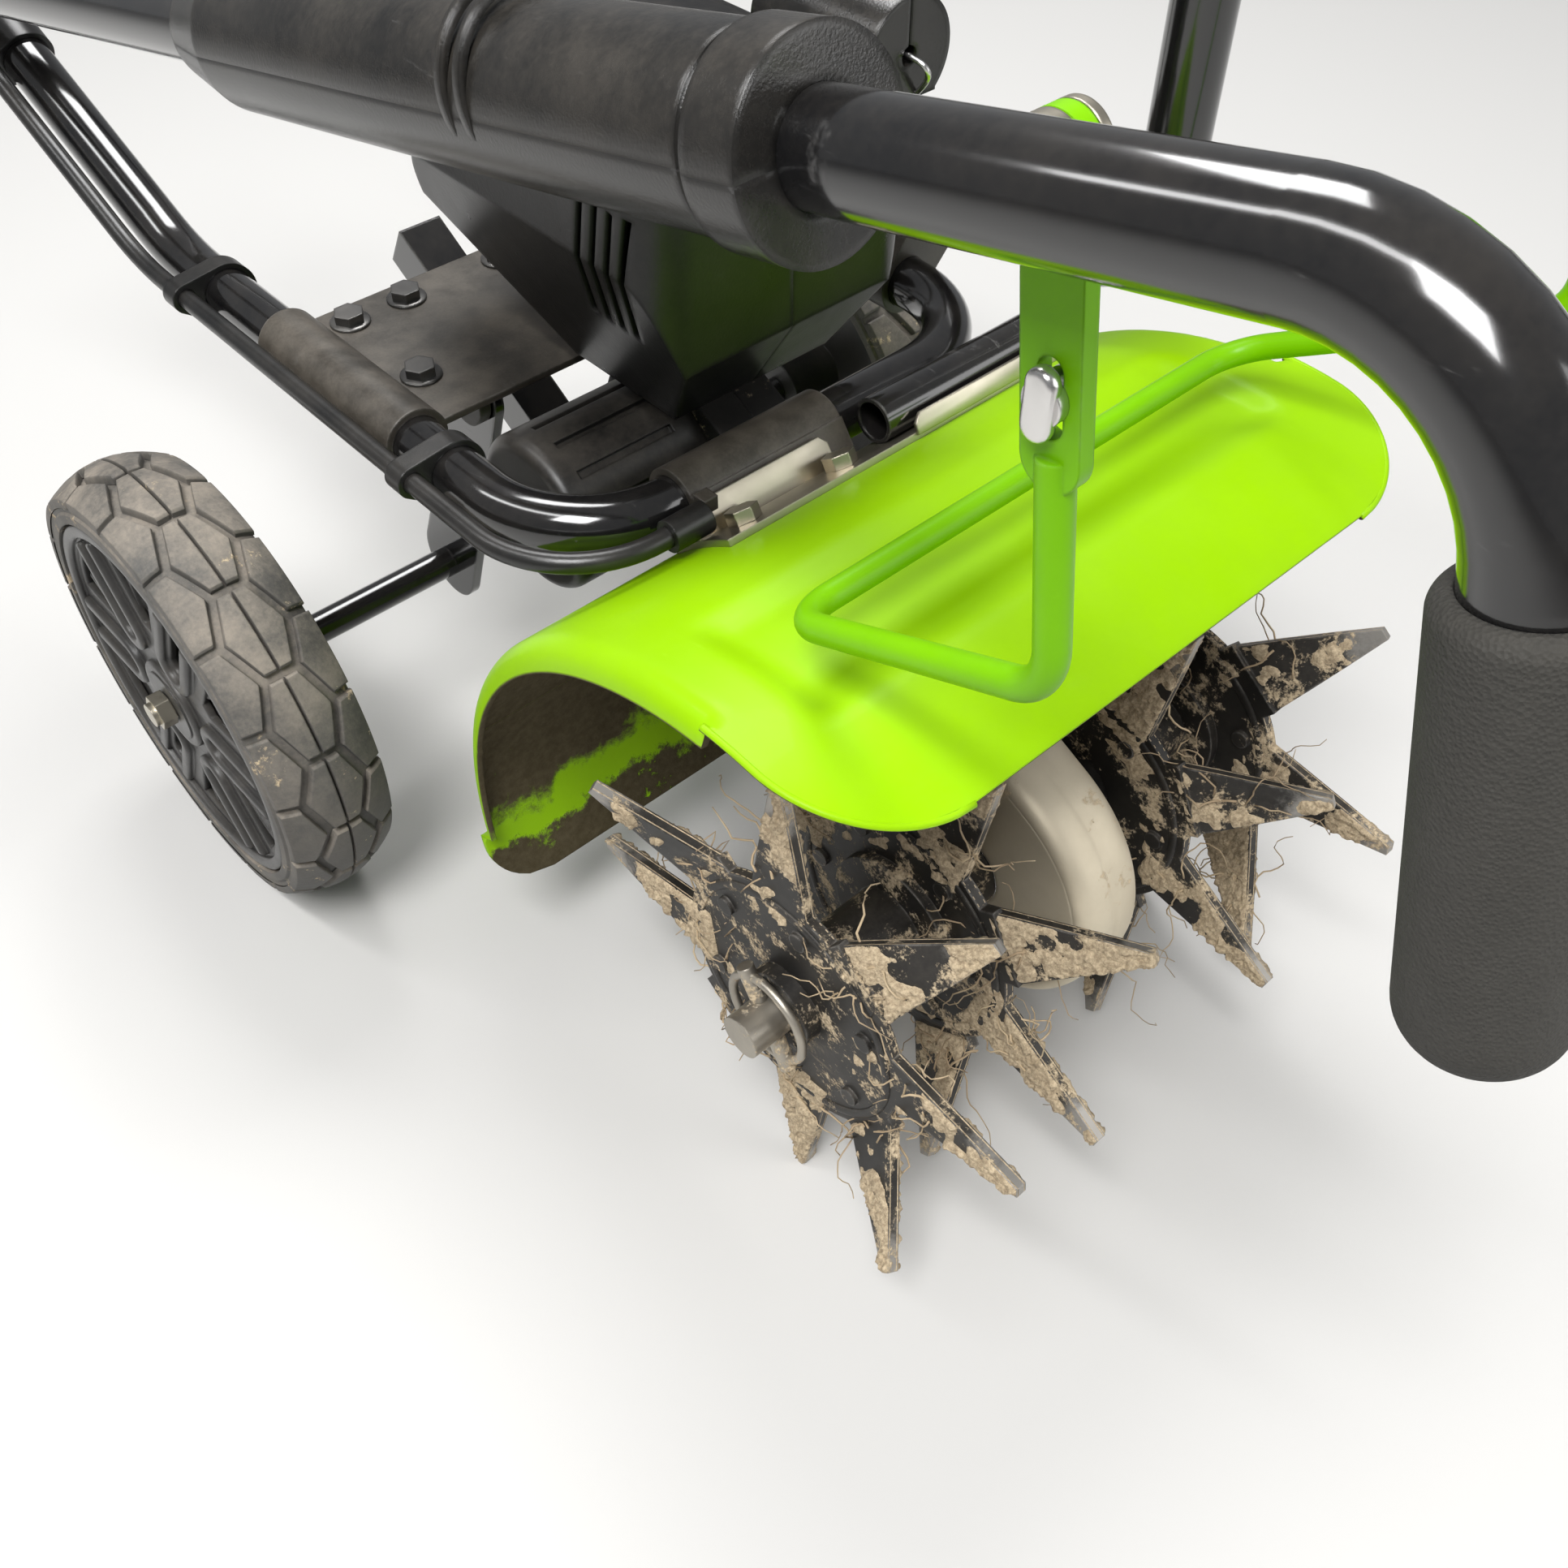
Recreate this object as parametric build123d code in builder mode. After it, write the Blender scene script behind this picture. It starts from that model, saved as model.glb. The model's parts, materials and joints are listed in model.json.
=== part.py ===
"""Cordless garden cultivator with its handle folded forward over the tine guard.

+X is the machine's right, -Y its front where the tines are, +Z up, and the ground is Z = 0.
All sizes are millimetres. Places along the machine are measured back from the tine shaft.
"""
import os
from math import acos, asin, atan2, cos, degrees, hypot, radians, sin, tan

from build123d import *

os.makedirs("parts", exist_ok=True)

# Clearances
fit_gap = 0.05
seat_gap = 0.4
case_gap = 2.0

# Tine rotor
tine_y = -169.3
tine_reach = 100.0
tine_phase = 37.0
tine_count = 8
tine_step = 360.0 / tine_count
tine_plate = 4.0
tine_disc_r = 50.0
tine_root_w = 29.0
tine_waist_w = 17.0
tine_tip_w = 4.0
tine_sweep = 7.0
tine_root_in = 12.0
tine_bend = 26.0
tine_stagger = 22.5
outer_tine_x = 98.0
inner_tine_x = 47.0
tine_hub_r = 15.0
tine_flange_r = 27.0
tine_flange_t = 4.0
hub_shoulder = 6.0
rivet_r = 3.5
rivet_circle = 38.0
rivet_count = 6
rivet_high = 1.6
shaft_r = 8.0
shaft_end = 12.0
hitch_r = 3.0
hitch_ring_r = 17.0
hitch_wire = 1.6
hitch_ring_gap = 1.0
hitch_tip = 4.0

# Height of the tine shaft when the lowest straight tine stands on the ground
tine_lean = 270.0 - (tine_phase + 5 * tine_step)
tine_low = tine_sweep + tine_tip_w / 2
tine_z = tine_reach * cos(radians(tine_lean)) + tine_low * sin(radians(tine_lean))

# Tine guard
guard_r = 146.0
guard_t = 2.0
guard_half = 127.0
guard_rear = -20.0
guard_front = 112.0
guard_nose_round = 42.0
guard_nose_in = 38.0
guard_tail_round = 26.0
guard_tail_in = 22.0
recess_deep = 3.5
recess_half = 104.0
recess_from = 76.0
recess_to = 94.0
slot_gap = 1.5

# Drive case and motor
case_half = 15.0
case_wall = 3.0
case_low_r = 50.0
case_high_r = 34.0
bearing_r = 15.0
bearing_w = 8.0
seat_pad_half = 11.0
seat_pad_length = 36.0
seat_rise = 37.0
motor_r = 29.0
motor_length = 60.0
motor_round = 5.0
motor_rib_count = 14
motor_rib_w = 3.0
motor_rib_deep = 2.0
motor_gap = 11.3
drive_angle = 30.8
drive_reach = guard_r + motor_gap + motor_r
drive_y = tine_y + drive_reach * cos(radians(drive_angle))
drive_z = tine_z + drive_reach * sin(radians(drive_angle))
seat_z = drive_z + seat_rise

# Frame tube: its bight lies behind the top of the guard
tube_r = 9.5
tube_wall = 1.6
arm_x = 97.0
cross_gap = 15.2
cross_rise = 14.35
case_narrow = (case_low_r - case_high_r) / drive_reach
flank_angle = drive_angle + 90.0 - degrees(asin(case_narrow))
cross_angle = flank_angle - degrees(acos((case_low_r + cross_rise) / (guard_r + cross_gap)))
cross_y = tine_y + (guard_r + cross_gap) * cos(radians(cross_angle))
frame_z = tine_z + (guard_r + cross_gap) * sin(radians(cross_angle))
corner_r = 42.0
frame_run = 245.0
knee_y = cross_y + frame_run
knee_r = 90.0
fold_run = 170.0
fold_rise = 70.0
fold_y = knee_y + fold_run
fold_z = frame_z + fold_rise
fold_eye_r = 13.0

# Deck plate
deck_t = 2.5
deck_lift = 1.5
deck_z = frame_z + deck_lift
deck_back = 83.0
deck_front = cross_y + deck_back
deck_depth = 84.0
deck_edge_row = 11.0
deck_row_pitch = 46.0
deck_inner_x = 11.0
deck_mid_x = 53.0
deck_outer_x = 77.0
deck_wrap_low = 7.0
pivot_lug_t = 5.0
pivot_lug_r = 11.0

# Hex bolts
bolt_hex = 10.0
bolt_head = 4.5
bolt_r = 3.0
bolt_stub = 5.0

# Guard bracket, saddle and sleeve
bracket_t = 2.5
bracket_turn = 13.0
bracket_back_turn = 1.4
bracket_from = cross_angle - bracket_back_turn
bracket_to = bracket_from + bracket_turn
bracket_half = 35.0
bracket_x = -25.0
strip_turn = 7.0
strip_from = bracket_to - strip_turn
strip_right = 92.0
bracket_bolt_angle = (strip_from + bracket_to) / 2
bracket_bolt_pitch = 42.0
saddle_t = 2.5
saddle_to = strip_from
lug_half = 11.0
lug_half_w = 9.0
sleeve_r = 8.0
sleeve_wall = 1.5
sleeve_left = 14.0

# Battery housing and pack
house_half_low = 34.0
house_half_top = 55.0
house_wall = 2.5
house_ahead = 52.0
house_behind = 86.0
house_high = 90.0
house_toe_in = 20.0
house_heel_back = 22.0
house_rear_rise = 42.0
house_shin_rise = 30.0
house_round = 16.0
house_top_round = 5.0
house_front = drive_y - house_ahead
house_rear = drive_y + house_behind
house_top = seat_z + house_high
house_toe = house_front + house_toe_in
house_heel = drive_y + house_heel_back
house_rear_low = seat_z + house_rear_rise
house_shin = seat_z + house_shin_rise
house_shoulder = 30.0
vent_count = 4
vent_w = 3.0
vent_pitch = 7.0
vent_high = 46.0
vent_rise = 58.0
vent_z = seat_z + vent_rise
vent_lean = 12.0
vent_back = 26.0
vent_y = house_front + vent_back
pack_half = 36.0
pack_high = 36.0
pack_length = 96.0
pack_proud = 24.0
pack_gap = 0.3
pack_roof = 4.0
pack_round = 4.0
shelf_t = 3.0
latch_w = 12.0
latch_deep = 8.0
latch_travel = 3.0
latch_round = 1.5
plug_r = 17.0
plug_length = 50.0
plug_x = 36.0
plug_ahead = 10.0
plug_front = house_front - plug_ahead
plug_slit = 1.2
plug_bore = 3.0
plug_base_half = 12.0
plug_base_cut = 4.0

# Wheel carrier
pivot_back = 37.0
pivot_drop = 20.5
pivot_y = deck_front + pivot_back
pivot_z = deck_z - pivot_drop
pivot_r = 5.0
pivot_head_r = 8.0
pivot_head_t = 3.0
ear_x = 50.0
ear_t = 4.0
ear_top_r = 13.0
ear_low_r = 17.0
axle_back = 47.0
axle_y = pivot_y + axle_back
axle_r = 5.0
axle_end = 8.0
spacer_r = 6.5
web_t = 4.0
web_high = 40.0
web_back = 25.0
web_y = pivot_y + web_back
web_share = 0.6
bar_w = 20.0
bar_wall = 2.0
bar_length = 112.0
bar_slope = 32.0

# Wheels
tyre_r = 95.0
tyre_w = 44.0
tyre_crown = 7.0
tyre_deep = 17.0
wheel_x = 163.0
rim_r = tyre_r - tyre_deep
rim_t = 4.0
rim_w = 36.0
hub_r = 15.0
dish_t = 9.0
dish_in = 3.0
pocket_deep = 6.0
pocket_count = 6
pocket_in = 22.0
pocket_edge = 10.0
pocket_out = rim_r - pocket_edge
pocket_in_w = 8.0
pocket_out_w = 46.0
rib_end = 2.0
rib_wide = 17.0
rib_t = 3.0
rib_high = 2.0
tread_count = 18
tread_deep = 3.0
tread_groove = 3.5
tread_slant = 28.0
nut_hex = 13.0
nut_t = 6.0
axle_z = tyre_r
web_z = pivot_z - web_share * (pivot_z - axle_z)

# Folded handle
handle_r = 10.5
handle_wall = 1.6
handle_x = 122.0
handle_run = 677.0
handle_rise = 143.0
bend_y = fold_y - handle_run
bend_z = fold_z + handle_rise
bend_r = 38.0
grip_lean = 30.0
grip_drop = 115.0
grip_end_y = bend_y - grip_lean
grip_end_z = bend_z - grip_drop
grip_r = 14.0
grip_gap = 2.0
grip_cap = 5.0
grip_round = 3.0
spreader_ahead = 70.0
spreader_y = fold_y - spreader_ahead
spreader_r = 8.0
fold_bolt_r = 4.0
fold_bolt_head = 4.0
fold_bolt_hex = 13.0
knob_r = 15.0
knob_t = 13.0
knob_lobes = 6
knob_lobe_r = 5.0

# Control housing on the left arm
control_back = 126.0
control_front = bend_y + control_back
control_length = 236.0
control_r = 18.5
control_collar_r = 20.0
control_collar = 14.0
control_groove = 1.5
control_taper = 24.0
control_tail_r = 14.0
button_r = 6.0
button_high = 7.0
button_sink = 3.5
button_travel = 3.0
button_back = 170.0
button_round = 1.5

# Switch bail
bail_r = 4.0
bail_x = 105.5
bail_back = 89.0
bail_pivot_y = bend_y + bail_back
bail_pin_r = 4.0
bail_pin_head_r = 7.0
bail_pin_head_t = 2.0
bail_flat_w = 14.0
bail_flat_t = 4.0
bail_flat_drop = 54.0
bail_slot_drop = 42.0
bail_slot_l = 16.0
bail_slot_w = 6.0
bail_knee_lean = 16.0
bail_knee_rise = 48.0
bail_bar_back = 7.0
bail_clear = 14.5
bail_knee_y = bail_pivot_y - bail_knee_lean
bail_bar_y = tine_y + bail_bar_back
bail_bar_z = tine_z + guard_r + bail_clear
bail_knee_z = bail_bar_z + bail_knee_rise
bail_bar_half = 94.0
bail_bend_r = 16.0
nipple_r = 2.6
nipple_head_r = 4.5
nipple_head_t = 2.5

# Handle stay
stay_r = 10.5
stay_wall = 1.6
stay_ahead = 46.0
stay_y = cross_y - stay_ahead
stay_lift = 28.0
stay_foot_z = frame_z + stay_lift
stay_bend_r = 32.0
stay_deck_gap = 10.0
stay_end_y = deck_front - stay_deck_gap
clamp_t = 3.0
clamp_w = 26.0
clamp_end = 2.0
cradle_half = 15.0
cradle_w = 18.0
cradle_high = 12.0
cradle_plug = 14.0

# Motor lead
lead_r = 3.5
lead_gap = 0.6
lead_rise = 4.0
lead_start_back = 105.0
lead_start_y = knee_y + lead_start_back
lead_bend_r = 40.0
lead_end_x = -70.0
grommet_length = 14.0
clip_t = 2.0
clip_w = 8.0
clip_front_back = 60.0
clip_rear_ahead = 35.0
clip_front_y = cross_y + clip_front_back
clip_rear_y = knee_y - clip_rear_ahead
gland_r = 5.5


def hex_bolt(plane: Plane, across: float, head: float, radius: float, stub: float) -> Part:
    """One hex bolt, its head standing on the plane and its stub reaching behind it."""
    with BuildPart() as bolt:
        with BuildSketch(plane):
            RegularPolygon(radius=across / 2, side_count=6, major_radius=False)
        extrude(amount=head)
        with BuildSketch(plane):
            Circle(radius)
        extrude(amount=-stub)
    return bolt.part


def round_tube(points: list, radii: list, outer: float, inner: float = 0.0) -> Part:
    """A round tube or rod along straight runs joined by arcs."""
    with BuildPart() as tube:
        with BuildLine() as path:
            FilletPolyline(*points, radius=radii)
        with BuildSketch(Plane(origin=path.line @ 0, z_dir=path.line % 0)):
            Circle(outer)
            if inner > 0:
                Circle(inner, mode=Mode.SUBTRACT)
        sweep(path=path.line)
    return tube.part


def cross_cylinder(x_from: float, x_to: float, y: float, z: float, radius: float, bore: float = 0.0) -> Part:
    """A cylinder or ring lying across the machine."""
    with BuildPart() as cylinder:
        with BuildSketch(Plane.YZ.offset(x_from)):
            with Locations((y, z)):
                Circle(radius)
                if bore > 0:
                    Circle(bore, mode=Mode.SUBTRACT)
        extrude(amount=x_to - x_from)
    return cylinder.part


def shaft_polar(radius: float, angle: float) -> tuple:
    """Side-view point at a radius and angle about the tine shaft."""
    return (tine_y + radius * cos(radians(angle)), tine_z + radius * sin(radians(angle)))


def arm_height(y: float) -> float:
    """Height of a folded handle arm's centre line at a place along the machine."""
    return fold_z + (fold_y - y) * (bend_z - fold_z) / (fold_y - bend_y)


def ring_sector(x_from: float, x_to: float, inner: float, outer: float, start: float, end: float) -> Part:
    """A curved plate about the tine shaft between two radii and two angles."""
    middle = (start + end) / 2
    with BuildPart() as sector:
        with BuildSketch(Plane.YZ.offset(x_from)):
            with BuildLine():
                ThreePointArc(*(shaft_polar(outer, angle) for angle in (start, middle, end)))
                Line(shaft_polar(outer, end), shaft_polar(inner, end))
                ThreePointArc(*(shaft_polar(inner, angle) for angle in (end, middle, start)))
                Line(shaft_polar(inner, start), shaft_polar(outer, start))
            make_face()
        extrude(amount=x_to - x_from)
    return sector.part


# Frame tube: a U with its bight across the front and its arms rising behind the knees
arm_points = [
    (-arm_x, fold_y, fold_z),
    (-arm_x, knee_y, frame_z),
    (-arm_x, cross_y, frame_z),
    (arm_x, cross_y, frame_z),
    (arm_x, knee_y, frame_z),
    (arm_x, fold_y, fold_z),
]
with BuildPart() as frame_tube:
    add(round_tube(arm_points, [knee_r, corner_r, corner_r, knee_r], tube_r, tube_r - tube_wall))
    for side in (-1, 1):
        add(cross_cylinder(side * arm_x - tube_r, side * arm_x + tube_r, fold_y, fold_z, fold_eye_r))
    add(
        cross_cylinder(-2 * arm_x, 2 * arm_x, fold_y, fold_z, fold_bolt_r + fit_gap),
        mode=Mode.SUBTRACT,
    )
frame_tube.part.label = "frame_tube"
export_step(frame_tube.part, "parts/frame_tube.step")

# Deck plate: flat between the arms, folded over both tubes, with lugs for the carrier pivot
wrap_in = tube_r + fit_gap
wrap_out = wrap_in + deck_t
deck_back_row = deck_front + deck_depth - deck_edge_row
deck_front_row = deck_back_row - deck_row_pitch
deck_bolts_at = []
for side in (-1, 1):
    deck_bolts_at += [(side * x, deck_back_row) for x in (deck_inner_x, deck_mid_x, deck_outer_x)]
    deck_bolts_at += [(side * x, deck_front_row) for x in (deck_inner_x, deck_outer_x)]
wrap_mouth = frame_z - deck_wrap_low - wrap_out
lug_x = ear_x + ear_t / 2 + seat_gap
with BuildPart() as deck_plate:
    with BuildSketch(Plane.XZ.offset(-deck_front)):
        with Locations((0, deck_z + deck_t / 2)):
            Rectangle(2 * (arm_x - tube_r), deck_t)
        with Locations((-arm_x, frame_z), (arm_x, frame_z)):
            Circle(wrap_out)
        with Locations((-arm_x, frame_z), (arm_x, frame_z)):
            Circle(wrap_in, mode=Mode.SUBTRACT)
        with Locations((-arm_x, wrap_mouth), (arm_x, wrap_mouth)):
            Rectangle(2 * wrap_out + 2 * deck_t, 2 * wrap_out, mode=Mode.SUBTRACT)
    extrude(amount=-deck_depth)
    for side in (-1, 1):
        with BuildSketch(Plane.YZ.offset(side * lug_x)):
            with Locations((pivot_y, pivot_z)):
                Circle(pivot_lug_r)
            with Locations((pivot_y, (pivot_z + deck_z + deck_t / 2) / 2)):
                Rectangle(2 * pivot_lug_r, deck_z + deck_t / 2 - pivot_z)
            with Locations((pivot_y, pivot_z)):
                Circle(pivot_r + fit_gap, mode=Mode.SUBTRACT)
        extrude(amount=side * pivot_lug_t)
    with BuildSketch(Plane.XY.offset(deck_z)):
        with Locations(*deck_bolts_at):
            Circle(bolt_r + fit_gap)
    extrude(amount=deck_t, mode=Mode.SUBTRACT)
deck_plate.part.label = "deck_plate"
export_step(deck_plate.part, "parts/deck_plate.step")

with BuildPart() as deck_bolts:
    for x, y in deck_bolts_at:
        add(hex_bolt(Plane(origin=(x, y, deck_z + deck_t)), bolt_hex, bolt_head, bolt_r, bolt_stub))
deck_bolts.part.label = "deck_bolts"
export_step(deck_bolts.part, "parts/deck_bolts.step")


def bracket_bolt_plane(x: float) -> Plane:
    """Plane under the head of a guard bracket bolt."""
    angle = radians(bracket_bolt_angle)
    place = shaft_polar(guard_r + bracket_t, bracket_bolt_angle)
    return Plane(origin=(x, *place), z_dir=(0, cos(angle), sin(angle)))


bracket_bolts_x = (bracket_x - bracket_bolt_pitch / 2, bracket_x + bracket_bolt_pitch / 2)
lead_side = arm_x + wrap_out + lead_r + lead_gap
lead_z = frame_z + lead_rise
gland_y = cross_y - (lead_side - arm_x)

# Tine guard: a curved sheet over the tines with a pressed recess and a slot for the drive case
slot_half = degrees(asin((case_low_r - case_narrow * guard_r + case_gap) / guard_r))
slot_x = case_half + slot_gap
nose_y = shaft_polar(guard_r, guard_front)[0]
tail_z = shaft_polar(guard_r, guard_rear)[1]
tail_cut = guard_tail_in + guard_t
nose_cut = guard_nose_in + guard_t
slot_from = drive_angle - slot_half
slot_to = drive_angle + slot_half
with BuildPart() as tine_guard:
    add(ring_sector(-guard_half, guard_half, guard_r - guard_t, guard_r, guard_rear, guard_front))
    with BuildSketch(Plane.XY.offset(tine_z)):
        for side in (-1, 1):
            with Locations((side * (guard_half + guard_t - nose_cut / 2), nose_y - guard_t + nose_cut / 2)):
                Rectangle(nose_cut, nose_cut)
            with Locations((side * (guard_half - guard_nose_in), nose_y + guard_nose_in)):
                Circle(guard_nose_round, mode=Mode.SUBTRACT)
    extrude(amount=guard_r, mode=Mode.SUBTRACT)
    with BuildSketch(Plane.XZ.offset(-tine_y)):
        for side in (-1, 1):
            with Locations((side * (guard_half + guard_t - tail_cut / 2), tail_z - guard_t + tail_cut / 2)):
                Rectangle(tail_cut, tail_cut)
            with Locations((side * (guard_half - guard_tail_in), tail_z + guard_tail_in)):
                Circle(guard_tail_round, mode=Mode.SUBTRACT)
    extrude(amount=-guard_r, mode=Mode.SUBTRACT)
    pan_r = guard_r - recess_deep
    pan_edge = degrees(guard_t / guard_r)
    pan_top = guard_r - guard_t / 2
    add(ring_sector(-recess_half, recess_half, pan_r - guard_t, pan_top, recess_from, recess_to))
    add(
        ring_sector(
            guard_t - recess_half,
            recess_half - guard_t,
            pan_r,
            guard_r + guard_t,
            recess_from + pan_edge,
            recess_to - pan_edge,
        ),
        mode=Mode.SUBTRACT,
    )
    add(
        ring_sector(-slot_x, slot_x, guard_r - 2 * guard_t, guard_r + guard_t, slot_from, slot_to),
        mode=Mode.SUBTRACT,
    )
    for bolt_x in bracket_bolts_x:
        with BuildSketch(bracket_bolt_plane(bolt_x)):
            Circle(bolt_r + fit_gap)
        extrude(amount=-2 * bolt_stub, mode=Mode.SUBTRACT)
tine_guard.part.label = "tine_guard"
export_step(tine_guard.part, "parts/tine_guard.step")

# Guard bracket: a zinc strip bent to the guard, bolted down in front of the frame's cross tube
bracket_r = guard_r + bracket_t
bracket_left = bracket_x - bracket_half
bracket_right = bracket_x + bracket_half
with BuildPart() as guard_bracket:
    add(ring_sector(bracket_left, bracket_right, guard_r, bracket_r, bracket_from, bracket_to))
    add(ring_sector(bracket_right, strip_right, guard_r, bracket_r, strip_from, bracket_to))
    for bolt_x in bracket_bolts_x:
        with BuildSketch(bracket_bolt_plane(bolt_x)):
            Circle(bolt_r + fit_gap)
        extrude(amount=-2 * bolt_stub, mode=Mode.SUBTRACT)
guard_bracket.part.label = "guard_bracket"
export_step(guard_bracket.part, "parts/guard_bracket.step")

with BuildPart() as bracket_bolts:
    for bolt_x in bracket_bolts_x:
        add(hex_bolt(bracket_bolt_plane(bolt_x), bolt_hex, bolt_head, bolt_r, bolt_stub + bracket_t))
bracket_bolts.part.label = "bracket_bolts"
export_step(bracket_bolts.part, "parts/bracket_bolts.step")

# Cross sleeve: an open tube lying on the strip
sleeve_y, sleeve_z = shaft_polar(bracket_r + sleeve_r, (strip_from + bracket_to) / 2)
with BuildPart() as cross_sleeve:
    add(cross_cylinder(sleeve_left, strip_right, sleeve_y, sleeve_z, sleeve_r, sleeve_r - sleeve_wall))
cross_sleeve.part.label = "cross_sleeve"
export_step(cross_sleeve.part, "parts/cross_sleeve.step")

# Frame saddle: a sleeve on the cross tube with a foot on the bracket and a lug on the drive case
saddle_r = tube_r + fit_gap + saddle_t
lug_normal = radians(flank_angle)
lug_up = (cos(lug_normal), sin(lug_normal))
lug_along = (sin(lug_normal), -cos(lug_normal))
saddle_left = corner_r - arm_x
saddle_right = bracket_right
with BuildPart() as frame_saddle:
    add(cross_cylinder(saddle_left, saddle_right, cross_y, frame_z, saddle_r))
    cross_r = hypot(cross_y - tine_y, frame_z - tine_z)
    add(ring_sector(saddle_left, saddle_right, bracket_r, cross_r, bracket_from, saddle_to))
    with BuildSketch(Plane.YZ.offset(-lug_half)):
        with BuildLine():
            Polyline(
                *(
                    (
                        cross_y - lug_up[0] * drop + lug_along[0] * reach,
                        frame_z - lug_up[1] * drop + lug_along[1] * reach,
                    )
                    for drop, reach in (
                        (0, -lug_half_w),
                        (cross_rise, -lug_half_w),
                        (cross_rise, lug_half_w),
                        (0, lug_half_w),
                    )
                ),
                close=True,
            )
        make_face()
    extrude(amount=lug_half + saddle_right)
    with BuildSketch(Plane.YZ.offset(saddle_left)):
        with Locations((gland_y + gland_r / 2, lead_z)):
            Rectangle(gland_r, 2 * gland_r)
    extrude(amount=gland_r)
    add(
        cross_cylinder(saddle_left - saddle_t, saddle_right + saddle_t, cross_y, frame_z, tube_r + fit_gap),
        mode=Mode.SUBTRACT,
    )
frame_saddle.part.label = "frame_saddle"
export_step(frame_saddle.part, "parts/frame_saddle.step")

# Drive case: two pale halves from the tine shaft up to the motor, with a seat for the housing


def case_outline(grow: float) -> Sketch:
    """Side outline of the drive case, grown or shrunk by a wall."""
    with BuildSketch() as outline:
        with Locations((tine_y, tine_z)):
            Circle(case_low_r + grow)
        with Locations((drive_y, drive_z)):
            Circle(case_high_r + grow)
        make_hull()
    return outline.sketch


def case_half_part(side: int) -> Part:
    """One half of the drive case on the given side of the parting plane."""
    with BuildPart() as half:
        with BuildSketch(Plane.YZ):
            add(case_outline(0))
        extrude(amount=side * case_half)
        with BuildSketch(Plane.YZ):
            with Locations((drive_y, (drive_z + seat_z) / 2)):
                Rectangle(seat_pad_length, seat_z - drive_z)
        extrude(amount=side * seat_pad_half)
        with BuildSketch(Plane.YZ):
            add(case_outline(-case_wall))
        extrude(amount=side * (case_half - case_wall), mode=Mode.SUBTRACT)
        with BuildSketch(Plane.YZ.offset(side * (case_half - bearing_w))):
            with Locations((tine_y, tine_z)):
                Circle(bearing_r + case_wall)
        extrude(amount=side * bearing_w)
        with BuildSketch(Plane.YZ):
            with Locations((tine_y, tine_z)):
                Circle(bearing_r + fit_gap)
        extrude(amount=side * case_half, mode=Mode.SUBTRACT)
    return half.part


with BuildPart() as drive_case_left:
    add(case_half_part(-1))
drive_case_left.part.label = "drive_case_left"
export_step(drive_case_left.part, "parts/drive_case_left.step")

with BuildPart() as drive_case_right:
    add(case_half_part(1))
drive_case_right.part.label = "drive_case_right"
export_step(drive_case_right.part, "parts/drive_case_right.step")

# Shaft bearings in the two case walls
with BuildPart() as shaft_bearings:
    for side in (-1, 1):
        bearing_in = side * (case_half - bearing_w)
        add(cross_cylinder(side * case_half, bearing_in, tine_y, tine_z, bearing_r, shaft_r + fit_gap))
shaft_bearings.part.label = "shaft_bearings"
export_step(shaft_bearings.part, "parts/shaft_bearings.step")

# Motor can on the left of the case
with BuildPart() as motor_can:
    add(cross_cylinder(-case_half, -case_half - motor_length, drive_y, drive_z, motor_r))
    fillet(motor_can.faces().sort_by(Axis.X)[0].edges(), motor_round)
    with BuildSketch(Plane.YZ.offset(-case_half - 2 * motor_round)):
        with Locations((drive_y, drive_z)):
            with PolarLocations(motor_r, motor_rib_count):
                Rectangle(2 * motor_rib_deep, motor_rib_w)
    extrude(amount=-motor_length + 4 * motor_round, mode=Mode.SUBTRACT)
motor_can.part.label = "motor_can"
export_step(motor_can.part, "parts/motor_can.step")

# Tine shaft with a cross hole for a hitch pin near each end
hub_start = case_half + seat_gap
hub_end = outer_tine_x + tine_plate / 2 + hub_shoulder
hitch_x = hub_end + hitch_ring_gap + hitch_r
shaft_half = hitch_x + shaft_end
pin_angle = radians(tine_phase + tine_stagger)
pin_up = (0, cos(pin_angle), sin(pin_angle))
with BuildPart() as tine_shaft:
    add(cross_cylinder(-shaft_half, shaft_half, tine_y, tine_z, shaft_r))
    for side in (-1, 1):
        with BuildSketch(Plane(origin=(side * hitch_x, tine_y, tine_z), x_dir=(1, 0, 0), z_dir=pin_up)):
            Circle(hitch_r + fit_gap)
        extrude(amount=shaft_r, both=True, mode=Mode.SUBTRACT)
tine_shaft.part.label = "tine_shaft"
export_step(tine_shaft.part, "parts/tine_shaft.step")

# Hitch pins: a cross pin at each end, closed by a wire ring round the shaft
with BuildPart() as hitch_pins:
    for side in (-1, 1):
        with BuildSketch(Plane(origin=(side * hitch_x, tine_y, tine_z), x_dir=(1, 0, 0), z_dir=pin_up)):
            Circle(hitch_r)
        extrude(amount=hitch_ring_r + hitch_tip, both=True)
        with BuildSketch(Plane(origin=(side * hitch_x, tine_y, tine_z), x_dir=(1, 0, 0), z_dir=pin_up)):
            with Locations((0, hitch_ring_r)):
                Circle(hitch_wire)
        revolve(axis=Axis((side * hitch_x, tine_y, tine_z), (1, 0, 0)))
hitch_pins.part.label = "hitch_pins"
export_step(hitch_pins.part, "parts/hitch_pins.step")

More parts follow.
